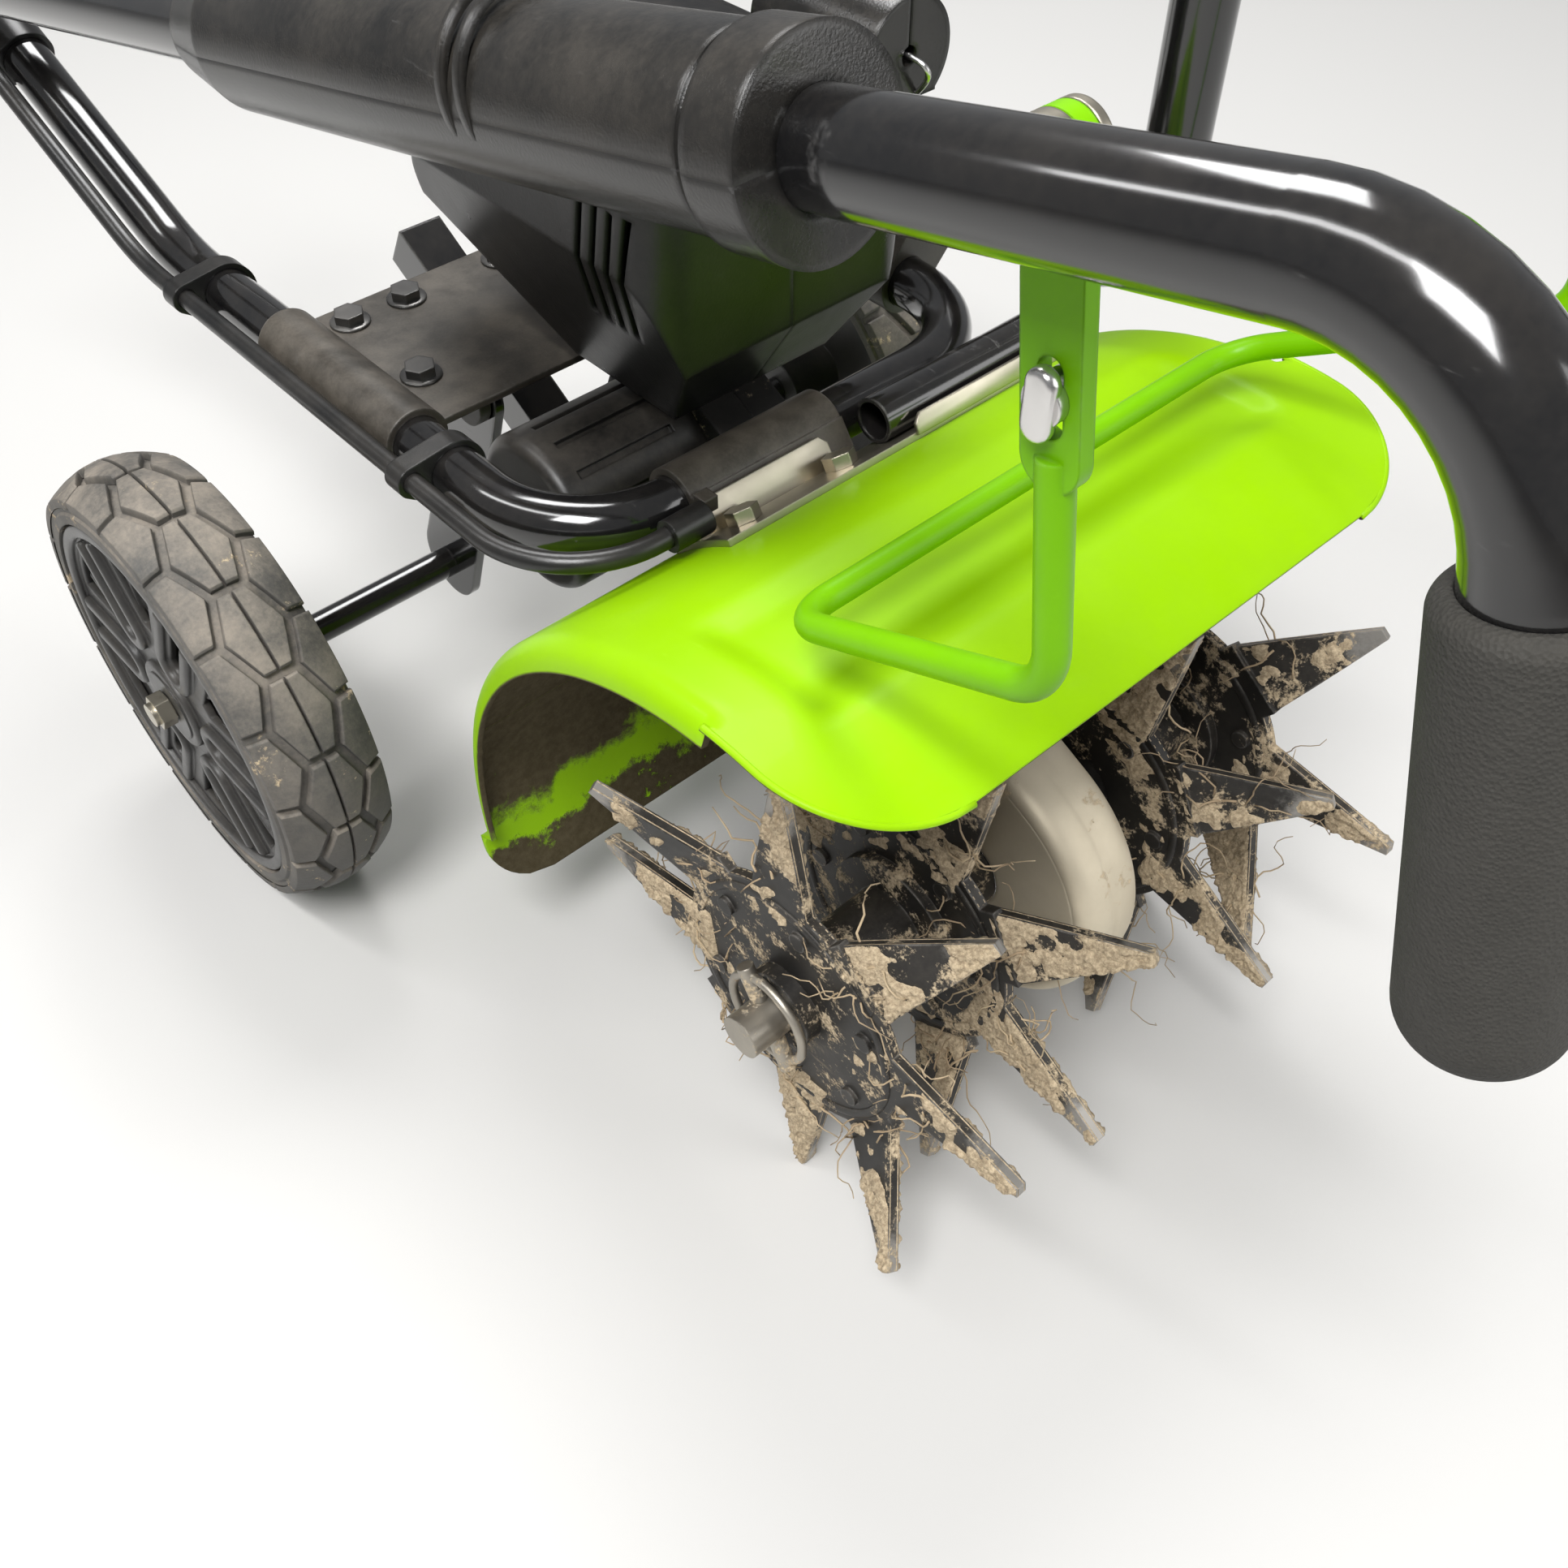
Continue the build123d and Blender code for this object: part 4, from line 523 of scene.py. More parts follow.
FINISHES: dict[str, Finish] = {
    finish.name: finish
    for finish in (
        Finish("black_enamel", (0.0035, 0.0035, 0.004), (0.006, 0.006, 0.0065), 0.11, coat=0.6, dust_and_top_light=0.04, scuff=0.3,
               wear=0.25, soft_edge=0.0015),
        Finish("deck_enamel", (0.027, 0.0235, 0.0185), (0.043, 0.037, 0.029), 0.4, relief=Surface.CAST,
               relief_scale=260.0, relief_high=0.12, dust_and_top_light=0.18, dust_and_top_light_scale=70.0, scuff=0.2, wear=0.25, soft_edge=0.001),
        # The guard's inner soil is darkened almost to dark brown: painted shade inside the guard, over real soil.
        Finish("green_enamel", (0.245, 0.485, 0.0), (0.265, 0.52, 0.0), 0.38, coat=0.02, dust_and_top_light=0.02, scuff=0.1,
               scuff_colour=(0.42, 0.72, 0.06), soil=0.52, soil_unshaded_share=0.08, soil_high=1.0, inner_soil=True,
               specular=0.12),
        Finish("bail_enamel", (0.145, 0.395, 0.0), (0.165, 0.435, 0.0), 0.34, coat=0.02, dust_and_top_light=0.02, scuff=0.15,
               scuff_colour=(0.32, 0.62, 0.05), wear=0.12, specular=0.14),
        Finish("zinc", (0.43, 0.395, 0.32), (0.55, 0.505, 0.41), 0.3, metallic=1.0, dust_and_top_light=0.14, scuff=0.4,
               scuff_colour=(0.28, 0.24, 0.19), soft_edge=0.0006),
        Finish("dull_zinc", (0.30, 0.275, 0.235), (0.42, 0.385, 0.325), 0.38, metallic=0.9, dust_and_top_light=0.12, soil=0.25,
               soil_scale=70.0, soil_high=0.5),
        Finish("dark_bolt", (0.11, 0.108, 0.105), (0.18, 0.176, 0.17), 0.28, metallic=0.9, dust_and_top_light=0.12, scuff=0.4),
        Finish("chrome", (0.62, 0.61, 0.60), (0.70, 0.69, 0.68), 0.16, metallic=1.0, dust_and_top_light=0.15, scuff=0.35),
        # The case's colour turns black above a set height.
        Finish("alloy", (0.55, 0.485, 0.365), (0.64, 0.57, 0.435), 0.52, metallic=0.5, relief=Surface.CAST,
               relief_scale=420.0, relief_high=0.1, dust_and_top_light=0.06, soil=0.24, soft_edge=0.002, black_above=0.185),
        Finish("tine_steel", (0.008, 0.0076, 0.007), (0.016, 0.0145, 0.013), 0.46, metallic=0.3, wear=0.5, scuff=0.5,
               scuff_colour=(0.36, 0.285, 0.185), scuff_scale=30.0, dust_and_top_light=0.16, soil=0.29, soil_scale=62.0,
               soil_high=1.2, tip_wear=0.8),
        Finish("motor_enamel", (0.007, 0.007, 0.0072), (0.012, 0.0117, 0.0113), 0.36, dust_and_top_light=0.14, soft_edge=0.001),
        Finish("hood_plastic", (0.0042, 0.0042, 0.0046), (0.007, 0.007, 0.0074), 0.3, relief=Surface.GRAIN,
               relief_scale=900.0, relief_high=0.1, dust_and_top_light=0.06, scuff=0.2, scuff_colour=(0.05, 0.05, 0.05),
               soft_edge=0.003, specular=0.3),
        Finish("housing_plastic", (0.0072, 0.007, 0.0066), (0.0125, 0.012, 0.0112), 0.2, relief=Surface.GRAIN,
               relief_scale=1500.0, relief_high=0.1, dust_and_top_light=0.1, scuff=0.35, scuff_colour=(0.10, 0.098, 0.095),
               soft_edge=0.0025),
        Finish("pack_plastic", (0.012, 0.012, 0.013), (0.019, 0.019, 0.02), 0.36, relief=Surface.GRAIN,
               relief_scale=1300.0, relief_high=0.12, dust_and_top_light=0.12, soft_edge=0.002),
        Finish("button_plastic", (0.245, 0.5, 0.0), (0.265, 0.54, 0.0), 0.3, dust_and_top_light=0.05, soft_edge=0.001),
        Finish("hub_plastic", (0.02, 0.0196, 0.0192), (0.03, 0.0292, 0.028), 0.34, relief=Surface.GRAIN,
               relief_scale=1200.0, relief_high=0.1, dust_and_top_light=0.1, scuff=0.3, scuff_colour=(0.1, 0.095, 0.09),
               soft_edge=0.0015),
        # The tyre's heavy pale layer on upward faces is partly dust and partly painted top light on the tread.
        Finish("tyre_rubber", (0.052, 0.0505, 0.047), (0.088, 0.085, 0.078), 0.66, relief=Surface.GRAIN,
               relief_scale=700.0, relief_high=0.25, dust_and_top_light=0.75, dust_and_top_light_scale=34.0, soil=0.2, soil_scale=40.0,
               soil_high=0.5, soft_edge=0.001),
        Finish("grip_foam", (0.026, 0.0248, 0.021), (0.034, 0.0322, 0.0275), 0.85, relief=Surface.FOAM,
               relief_scale=1400.0, relief_high=0.5, dust_and_top_light=0.05),
        Finish("lead_rubber", (0.007, 0.007, 0.007), (0.011, 0.011, 0.011), 0.3, relief=Surface.GRAIN,
               relief_scale=1400.0, relief_high=0.06, dust_and_top_light=0.05),
        Finish("dry_soil", (0.36, 0.275, 0.18), (0.66, 0.535, 0.36), 0.95, relief=Surface.CAST, relief_scale=520.0,
               relief_high=2.4, soil=0.6, soil_scale=60.0, soil_high=1.2),
        Finish("straw", (0.37, 0.27, 0.165), (0.58, 0.455, 0.29), 0.7),
    )
}

NODE_FINISH: dict[str, str] = {
    "bail": "bail_enamel",
    "deck_bolts": "dark_bolt",
    "hitch_pins": "dull_zinc",
    "housing_left": "hood_plastic",
    "housing_right": "hood_plastic",
    "tine_shaft": "dull_zinc",
}
SLOT_FINISH: dict[str, str] = {"foam": "grip_foam", "tyre": "tyre_rubber"}


class Wardrobe:
    """All materials, made once, and the dressing of the frame's own nodes."""

    def __init__(self) -> None:
        """Make every finish."""
        effects = Effects()
        self.materials = {name: finish.make(effects) for name, finish in FINISHES.items()}

    def dress(self, obj: Object, name: str) -> None:
        """Give a piece one finish."""
        obj.data.materials.clear()
        obj.data.materials.append(self.materials[name])

    def dress_nodes(self) -> None:
        """Give every node of the frame the finish of its material slot."""
        for entry in frame["record"]["subparts"]:
            node = entry["node"]
            slot = entry["material_slot"]
            name = NODE_FINISH.get(node) or SLOT_FINISH.get(slot, slot)
            self.dress(frame["nodes"][node], name)
            log.info("dressed %s in %s", node, name)


def mesh_object(name: str, fill: Fill) -> Object:
    """Make a smooth-shaded object from a function that fills a bmesh.

    Args:
        name: Name of the object.
        fill: Function that adds the geometry.

    Returns:
        The new object, linked to the scene.
    """
    body = bmesh.new()
    fill(body)
    bmesh.ops.recalc_face_normals(body, faces=body.faces)
    data = bpy.data.meshes.new(name)
    body.to_mesh(data)
    body.free()
    for face in data.polygons:
        face.use_smooth = True
    made = bpy.data.objects.new(name, data)
    bpy.context.scene.collection.objects.link(made)
    return made


def split_at(angle: float) -> Modifier:
    """Modifier that keeps edges sharp above an angle in degrees."""
    return "EDGE_SPLIT", {"split_angle": radians(angle)}


@dataclass(frozen=True)
class Piece:
    """One piece of a sub-assembly: how it is filled, finished and carried."""

    name: str
    fill: Fill
    finish: str
    body: Body
    slot: str = ""
    stands_for: str = ""
    modifiers: tuple[Modifier, ...] = ()

    def make(self, wardrobe: Wardrobe) -> Object:
        """Make the piece.

        Args:
            wardrobe: The finishes.

        Returns:
            The piece's object, dressed and riding on its body.
        """
        made = mesh_object(self.name, self.fill)
        for kind, settings in self.modifiers:
            modifier = made.modifiers.new(kind.lower(), kind)
            for label, value in settings.items():
                setattr(modifier, label, value)
        wardrobe.dress(made, self.finish)
        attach(made, self.body.value)
        if self.stands_for:
            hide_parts(self.stands_for)
        return made


class SubAssembly:
    """A group of pieces that are built and dressed together."""

    def pieces(self) -> list[Piece]:
        """The pieces, in the order in which they are made."""
        raise NotImplementedError

    def build(self, wardrobe: Wardrobe) -> list[Object]:
        """Make and dress every piece.

        Args:
            wardrobe: The finishes.

        Returns:
            The pieces' objects.
        """
        return [piece.make(wardrobe) for piece in self.pieces()]


def smooth_step(value: float, low: float, high: float) -> float:
    """Smooth change from 0 at low to 1 at high."""
    share = min(1.0, max(0.0, (value - low) / (high - low)))
    return share * share * (3.0 - 2.0 * share)


def arc(centre: float, radius: float, start: float, end: float, steps: int) -> list[tuple[float, float]]:
    """Points of an arc about a place on the first axis.

    Args:
        centre: Place of its centre.
        radius: Its radius.
        start: First angle in degrees.
        end: Last angle in degrees.
        steps: Number of steps between them.

    Returns:
        The points.
    """
    angles = [radians(start + (end - start) * k / steps) for k in range(steps + 1)]
    return [(centre + radius * cos(angle), radius * sin(angle)) for angle in angles]


def circle(radius: float, step: int) -> list[tuple[float, float]]:
    """Outline of a circle, with a point at each step of degrees."""
    return [(radius * cos(radians(angle)), radius * sin(radians(angle))) for angle in range(0, 360, step)]


def bridge(body: BMesh, rings: Sequence[Sequence[bmesh.types.BMVert]]) -> None:
    """Join each closed ring of vertices to the next.

    Args:
        body: The bmesh to fill.
        rings: Rings of the same number of vertices.
    """
    for first, second in zip(rings, rings[1:]):
        for k in range(len(first)):
            nxt = (k + 1) % len(first)
            body.faces.new((first[k], first[nxt], second[nxt], second[k]))


def add_tube(body: BMesh, points: Sequence[Vector], radii: Sequence[float], sides: int) -> None:
    """Add a thin closed tube along a line of points.

    Args:
        body: The bmesh to fill.
        points: Centre line.
        radii: Radius at each point.
        sides: Number of sides.
    """
    rings = []
    for index, point in enumerate(points):
        ahead = points[min(index + 1, len(points) - 1)] - points[max(index - 1, 0)]
        turn = ahead.to_track_quat("Z", "X")
        angles = [2 * pi * side / sides for side in range(sides)]
        spokes = [turn @ Vector((cos(angle), sin(angle), 0.0)) for angle in angles]
        rings.append([body.verts.new(point + spoke * radii[index]) for spoke in spokes])
    bridge(body, rings)
    body.faces.new(rings[0][::-1])
    body.faces.new(rings[-1])


def add_turned(body: BMesh, profile: Outline, place: Callable[[float, float, float], Vector], steps: int) -> None:
    """Add a closed ring turned about an axis.

    Args:
        body: The bmesh to fill.
        profile: Closed outline as (across, radius) pairs.
        place: Function from (across, angle, radius) to a point.
        steps: Number of steps round the axis.
    """
    rings = [[body.verts.new(place(u, 2 * pi * k / steps, r)) for u, r in profile] for k in range(steps)]
    bridge(body, rings + rings[:1])


def add_plate(body: BMesh, outlines: Sequence[Outline], half: float, edge: float, place: Matrix) -> None:
    """Add a flat plate with rounded edges.

    Args:
        body: The bmesh to fill.
        outlines: The outer outline, then any windows in it.
        half: Half the plate's thickness.
        edge: Radius of its edges.
        place: Matrix from the outline's plane to the machine.
    """
    curve = bpy.data.curves.new("outline", "CURVE")
    curve.dimensions = "2D"
    curve.fill_mode = "BOTH"
    curve.extrude = half - edge
    curve.bevel_depth = edge
    curve.bevel_resolution = 2
    curve.offset = -edge
    for outline in outlines:
        spline = curve.splines.new("POLY")
        spline.points.add(len(outline) - 1)
        for point, (u, v) in zip(spline.points, outline):
            point.co = (u, v, 0.0, 1.0)
        spline.use_cyclic_u = True
    holder = bpy.data.objects.new("outline", curve)
    mesh = bpy.data.meshes.new_from_object(holder)
    mesh.transform(place)
    body.from_mesh(mesh)
    bmesh.ops.remove_doubles(body, verts=body.verts, dist=MM * MM)
    bpy.data.meshes.remove(mesh)
    bpy.data.objects.remove(holder)
    bpy.data.curves.remove(curve)


def add_slab(body: BMesh, rows: int, columns: int, point: Callable[[int, int], tuple[Vector, Vector]]) -> None:
    """Add a closed slab over a grid of cells.

    Args:
        body: The bmesh to fill.
        rows: Number of rows of cells.
        columns: Number of columns of cells.
        point: Function from a row and a column to the upper and the lower point there.
    """
    grid = [[point(i, j) for j in range(columns + 1)] for i in range(rows + 1)]
    layers = [[[body.verts.new(pair[side]) for pair in row] for row in grid] for side in range(2)]
    for layer in layers:
        for i in range(rows):
            for j in range(columns):
                body.faces.new((layer[i][j], layer[i][j + 1], layer[i + 1][j + 1], layer[i + 1][j]))
    rim = [(0, j) for j in range(columns)] + [(i, columns) for i in range(rows)]
    rim += [(rows, j) for j in range(columns, 0, -1)] + [(i, 0) for i in range(rows, 0, -1)]
    upper, lower = layers
    for (i, j), (m, n) in zip(rim, rim[1:] + rim[:1]):
        body.faces.new((upper[i][j], upper[m][n], lower[m][n], lower[i][j]))


@dataclass
class Tyre(SubAssembly):
    """One tyre with a band of six-sided blocks between two rows of five-sided shoulder blocks."""

    node: str
    body: Body
    rim: float = 78.3 * MM
    ring_r: float = 82.0 * MM
    bead: Outline = ((0.0, -1.2 * MM), (0.0, 0.0), (-0.9 * MM, 1.0 * MM))
    shoulder_in: float = 0.6 * MM
    crown: float = 7.0 * MM
    crown_shares: tuple[float, ...] = (0.8, 0.5, 0.0, -0.5, -0.8)
    groove_deep: float = 3.2 * MM
    groove_half: float = 1.6 * MM
    blocks: int = 17
    block_in: float = 0.2 * MM
    block_step: float = 4.0 * MM
    point_out: float = 11.5 * MM
    point_in: float = 5.5 * MM
    row_gap: float = 3.0 * MM
    cut_half: float = 0.5 * MM
    edge_round: float = 0.9 * MM
    sharp: float = 38.0
    steps: int = 120

    def __post_init__(self) -> None:
        """Read the tyre's place and size from its node."""
        low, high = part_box(self.node)
        self.centre = (low + high) / 2
        self.radius = (high.z - low.z) / 2
        self.half = (high.x - low.x) / 2

    def pieces(self) -> list[Piece]:
        """The treaded tyre, in place of its plain node."""
        modifiers = (split_at(self.sharp),)
        return [Piece(f"{self.node}_treaded", self._fill, "tyre_rubber", self.body, "tyre", self.node, modifiers)]

    def _place(self, across: float, angle: float, radius: float) -> Vector:
        """Point at a distance across the tyre, an angle round it and a radius."""
        return self.centre + Vector((across, radius * sin(angle), radius * cos(angle)))

    def _top(self, across: float) -> float:
        """Radius of the worn tread across the tyre."""
        return self.radius - self.crown * (across / self.half) ** 2

    def _fill(self, body: BMesh) -> None:
        """Add the carcass and all blocks.

        Args:
            body: The bmesh to fill.
        """
        edge = self.half
        right = [(edge, self.rim)] + [(edge + u, self.ring_r + v) for u, v in self.bead]
        right.append((edge - self.shoulder_in, self._top(edge) - self.groove_deep))
        crown = [(u * edge, self._top(u * edge) - self.groove_deep) for u in self.crown_shares]
        left = [(-u, r) for u, r in reversed(right)]
        add_turned(body, right + crown + left, self._place, self.steps)
        side = pi * self.radius / self.blocks - self.groove_half
        cut, corner = self.cut_half, self.point_in
        middle = [(self.point_out, 0.0), (corner, side), (cut, side), (cut, -side), (corner, -side)]
        inner, slope = self.point_in + self.row_gap, self.point_out + self.row_gap
        outer = edge - self.block_in
        house = [(inner, 0.0), (slope, -side), (outer, -side), (outer, side), (slope, side)]
        for k in range(self.blocks):
            angle = 2 * pi * k / self.blocks
            for hand in (-1.0, 1.0):
                self._block(body, [(hand * u, v) for u, v in middle], angle)
                self._block(body, [(hand * u, v) for u, v in house], angle + pi / self.blocks)

    def _block(self, body: BMesh, outline: Outline, angle: float) -> None:
        """Add one rubber block.

        Args:
            body: The bmesh to fill.
            outline: Corners as (across, along) pairs.
            angle: Angle of the block's middle round the tyre.
        """
        fine = []
        for (u0, v0), (u1, v1) in zip(outline, list(outline[1:]) + [outline[0]]):
            count = max(1, round(hypot(u1 - u0, v1 - v0) / self.block_step))
            fine += [(u0 + (u1 - u0) * j / count, v0 + (v1 - v0) * j / count) for j in range(count)]
        mid_u = sum(u for u, _ in fine) / len(fine)
        mid_v = sum(v for _, v in fine) / len(fine)
        reach = max(hypot(u - mid_u, v - mid_v) for u, v in fine)
        steps = ((0.0, self.groove_deep), (0.0, self.edge_round), (self.edge_round, 0.0), (reach / 2, 0.0))
        rings = []
        for inset, drop in steps:
            share = 1.0 - inset / reach
            ring = []
            for u, v in fine:
                across = mid_u + (u - mid_u) * share
                along = mid_v + (v - mid_v) * share
                top = self._top(across)
                ring.append(body.verts.new(self._place(across, angle + along / self.radius, top - drop)))
            rings.append(ring)
        bridge(body, rings)
        tip = body.verts.new(self._place(mid_u, angle + mid_v / self.radius, self._top(mid_u)))
        for j in range(len(fine)):
            body.faces.new((rings[-1][j], rings[-1][(j + 1) % len(fine)], tip))


@dataclass
class Guard(SubAssembly):
    """Pressed sheet guard over the tines, with a soft-edged recess and a slot for the drive case."""

    radius: float = 146.0 * MM
    sheet: float = 2.0 * MM
    edge: float = 0.5 * MM
    sharp: float = 60.0
    half: float = 127.0 * MM
    rear: float = -20.0
    front: float = 112.0
    nose_round: float = 40.0 * MM
    tail_round: float = 24.0 * MM
    hem: float = 1.2 * MM
    hem_sides: int = 10
    rim: float = 9.0 * MM
    rim_from: float = -7.0
    rim_to: float = 88.0
    rim_steps: int = 10
    recess_deep: float = 3.4 * MM
    recess_half: float = 106.0 * MM
    recess_soft: float = 12.0 * MM
    recess_from: float = 73.0
    recess_to: float = 97.0
    recess_turn: float = 5.0
    slot_half: float = 16.5 * MM
    slot_from: float = 15.2
    slot_to: float = 46.4
    rows: int = 120
    columns: int = 110

    def pieces(self) -> list[Piece]:
        """List the sheet, in place of its plain node, and its hem.

        Returns:
            The two pieces.
        """
        thick = {"thickness": self.sheet, "offset": -1.0, "use_even_offset": True}
        soft = {"width": self.edge, "segments": 2, "limit_method": "ANGLE", "angle_limit": radians(self.sharp)}
        modifiers = (("SOLIDIFY", thick), ("BEVEL", soft))
        look = ("green_enamel", Body.CHASSIS, "green_enamel")
        return [
            Piece("pressed_guard", self._fill, *look, "tine_guard", modifiers),
            Piece("guard_hem", self._fill_hem, *look),
        ]

    def _on_sheet(self, x: float, angle: float, radius: float) -> Vector:
        """Point at a place across, an angle about the shaft and a radius."""
        return SHAFT.at(0.0) + Vector((x, radius * cos(radians(angle)), radius * sin(radians(angle))))

    def _fill_hem(self, body: BMesh) -> None:
        """Add a folded round edge along the nose, from where the turned-down rim ends.

        Args:
            body: The bmesh to fill.
        """
        middle = self.radius - self.sheet / 2
        span = self.front - self.rim_to
        angles = [self.rim_to + span * k / self.rows for k in range(self.rows + 1)]
        for hand in (-1.0, 1.0):
            points = [self._on_sheet(hand * (self._half_width(a) - self.hem / 2), a, middle) for a in angles]
            add_tube(body, points, [self.hem] * len(points), self.hem_sides)

    def _half_width(self, angle: float) -> float:
        """Half width of the sheet, which narrows round its nose and tail.

        Args:
            angle: Angle about the shaft.

        Returns:
            The half width there.
        """
        y = self.radius * cos(radians(angle))
        z = self.radius * sin(radians(angle))
        width = self.half
        nose = y - self.radius * cos(radians(self.front)) - self.nose_round
        if nose < 0.0 and z > 0.0:
            width += max(0.0, self.nose_round**2 - nose**2) ** 0.5 - self.nose_round
        tail = z - self.radius * sin(radians(self.rear)) - self.tail_round
        if tail < 0.0:
            width += max(0.0, self.tail_round**2 - tail**2) ** 0.5 - self.tail_round
        return width

    def _depth(self, x: float, angle: float) -> float:
        """Depth of the pressed recess.

        Args:
            x: Place across.
            angle: Angle about the shaft.

        Returns:
            The depth there.
        """
        across = 1.0 - smooth_step(abs(x), self.recess_half - self.recess_soft, self.recess_half)
        entering = smooth_step(angle, self.recess_from, self.recess_from + self.recess_turn)
        leaving = 1.0 - smooth_step(angle, self.recess_to - self.recess_turn, self.recess_to)
        return self.recess_deep * across * entering * leaving

    def _drop(self, x: float, angle: float) -> float:
        """How far the turned-down rim at each end lies below the sheet.

        Args:
            x: Place across.
            angle: Angle about the shaft.

        Returns:
            The drop there.
        """
        into = abs(x) - (self.half - self.rim)
        if into <= 0.0 or not self.rim_from <= angle <= self.rim_to:
            return 0.0
        return self.rim - max(0.0, self.rim**2 - into**2) ** 0.5

    def _fill(self, body: BMesh) -> None:
        """Add the curved grid, leaving the slot open.

        Args:
            body: The bmesh to fill.
        """
        span = self.front - self.rear
        even = {self.rear + span * k / self.rows for k in range(self.rows + 1)}
        angles = sorted({self.slot_from, self.slot_to} | even)
        slot = self.slot_half / self.half
        shares = {-slot, slot} | {2.0 * k / self.columns - 1.0 for k in range(self.columns + 1)}
        turns = [pi / 2 * k / self.rim_steps for k in range(1, self.rim_steps)]
        ends = [1.0 - self.rim / self.half * (1.0 - cos(turn)) for turn in turns]
        shares = sorted(shares | set(ends) | {-end for end in ends})
        grid = []
        for angle in angles:
            width = self._half_width(angle)
            row = []
            for share in shares:
                x = share * width
                radius = self.radius - self._depth(x, angle) - self._drop(x, angle)
                row.append(body.verts.new(self._on_sheet(x, angle, radius)))
            grid.append(row)
        for j, (low, high) in enumerate(zip(angles, angles[1:])):
            for k, (left, right) in enumerate(zip(shares, shares[1:])):
                inside = self.slot_from <= (low + high) / 2 <= self.slot_to and abs(left + right) / 2 < slot
                if not inside:
                    body.faces.new((grid[j][k], grid[j][k + 1], grid[j + 1][k + 1], grid[j + 1][k]))


@dataclass
class SoiledStar(SubAssembly):
    """Pressed ring, dry soil crust and grass roots of one tine star."""

    node: str
    phase: float
    seed: int
    reach: float = 100.0 * MM
    disc: float = 50.0 * MM
    bore: float = 30.0 * MM
    root_in: float = 12.0 * MM
    plate: float = 2.0 * MM
    bend: float = 26.0
    blades: int = 8
    near_edge: tuple[float, float, float] = (-14.5 * MM, -5.0 * MM, 5.0 * MM)
    far_edge: tuple[float, float, float] = (14.5 * MM, 12.0 * MM, 9.0 * MM)
    ring_r: float = 45.5 * MM
    ring_wide: float = 1.8 * MM
    ring_high: float = 0.9 * MM
    ring_steps: int = 8
    crust: float = 2.2 * MM
    crust_soft: float = 0.22
    crust_patches: Outline = ((55.0, 1.0), (170.0, 0.45))
    crust_crumbs: Outline = ((420.0, 0.6), (900.0, 0.5))
    crust_level: float = 0.65
    blade_cover: tuple[float, float] = (-0.12, 0.3)
    disc_cover: float = -0.3
    disc_crust: float = 0.7
    sunk: float = 0.4 * MM
    rows: int = 64
    columns: int = 20
    disc_steps: int = 110
    disc_rows: int = 10
    tuft_out: tuple[float, float] = (-6.0 * MM, 26.0 * MM)
    tuft_half: float = 7.0 * MM
    tuft_roots: tuple[int, int] = (4, 14)
    root_aside: tuple[float, float] = (-1.0, 1.0)
    root_out: tuple[float, float] = (-0.8, 0.5)
    root_steps: tuple[int, int] = (6, 17)
    root_step: float = 3.0 * MM
    root_lift: float = 1.2 * MM
    root_curl: float = 0.6
    root_cling: float = 220.0
    root_short: float = 4.0 * MM
    root_thick: tuple[float, float] = (0.3 * MM, 0.52 * MM)
    root_taper: float = 0.6
    root_sides: int = 5

    def __post_init__(self) -> None:
        """Find the star's middle and seed its dice."""
        low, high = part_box(self.node)
        self.middle = SHAFT.at((low.x + high.x) / 2)
        self.dice = random.Random(self.seed)

    def pieces(self) -> list[Piece]:
        """List the ring, the soil and the roots.

        Returns:
            The three pieces.
        """
        return [
            Piece(f"{self.node}_ring", self._fill_ring, "tine_steel", Body.ROTOR),
            Piece(f"{self.node}_soil", self._fill_soil, "dry_soil", Body.ROTOR),
            Piece(f"{self.node}_roots", self._fill_roots, "straw", Body.ROTOR),
        ]

    def _blade(self, index: int) -> tuple[Vector, Vector, Vector, Vector]:
        """Find where a blade stands.

        Args:
            index: Number of the blade.

        Returns:
            Its root, and its outward, sideways and face directions.
        """
        turn = radians(self.phase + 360.0 / self.blades * index)
        lean = 0.0
        if index % 2 == 0:
            lean = radians(self.bend if (index // 2) % 2 else -self.bend)
        spoke = Vector((0.0, cos(turn), sin(turn)))
        outward = Vector((sin(lean), cos(lean) * spoke.y, cos(lean) * spoke.z))
        sideways = Vector((0.0, -sin(turn), cos(turn)))
        return self.middle + spoke * self.disc, outward, sideways, outward.cross(sideways)

    @staticmethod
    def _edge(marks: tuple[float, float, float], share: float) -> float:
        """Find a blade's edge, on a curve through three marks.

        Args:
            marks: Places of the edge at the root, the middle and the tip.
            share: Share of the way from the root to the tip.

        Returns:
            The place of the edge there.
        """
        root, middle, tip = marks
        inner = root * (1.0 - share) * (1.0 - 2.0 * share)
        return inner + middle * 4.0 * share * (1.0 - share) + tip * share * (2.0 * share - 1.0)

    def _height(self, point: Vector, shift: Vector, cover: float) -> float:
        """Height of the crust.

        Args:
            point: Point on the plate.
            shift: Offset into the noise.
            cover: How much of the face is covered, about 0 for half.

        Returns:
            The height at the point.
        """
        patches = sum(share * noise.noise(point * scale + shift) for scale, share in self.crust_patches)
        crumbs = sum(share * noise.noise(point * scale + shift) for scale, share in self.crust_crumbs)
        return self.crust * smooth_step(patches + cover, 0.0, self.crust_soft) * (self.crust_level + crumbs)

    def _shift(self) -> Vector:
        """A random offset into the noise."""
        return Vector([self.dice.uniform(0, 50) for _ in range(3)])

    def _round_shaft(self, across: float, angle: float, radius: float) -> Vector:
        """Point at a distance from the star's plane, an angle round the shaft and a radius."""
        return self.middle + Vector((across, radius * cos(angle), radius * sin(angle)))

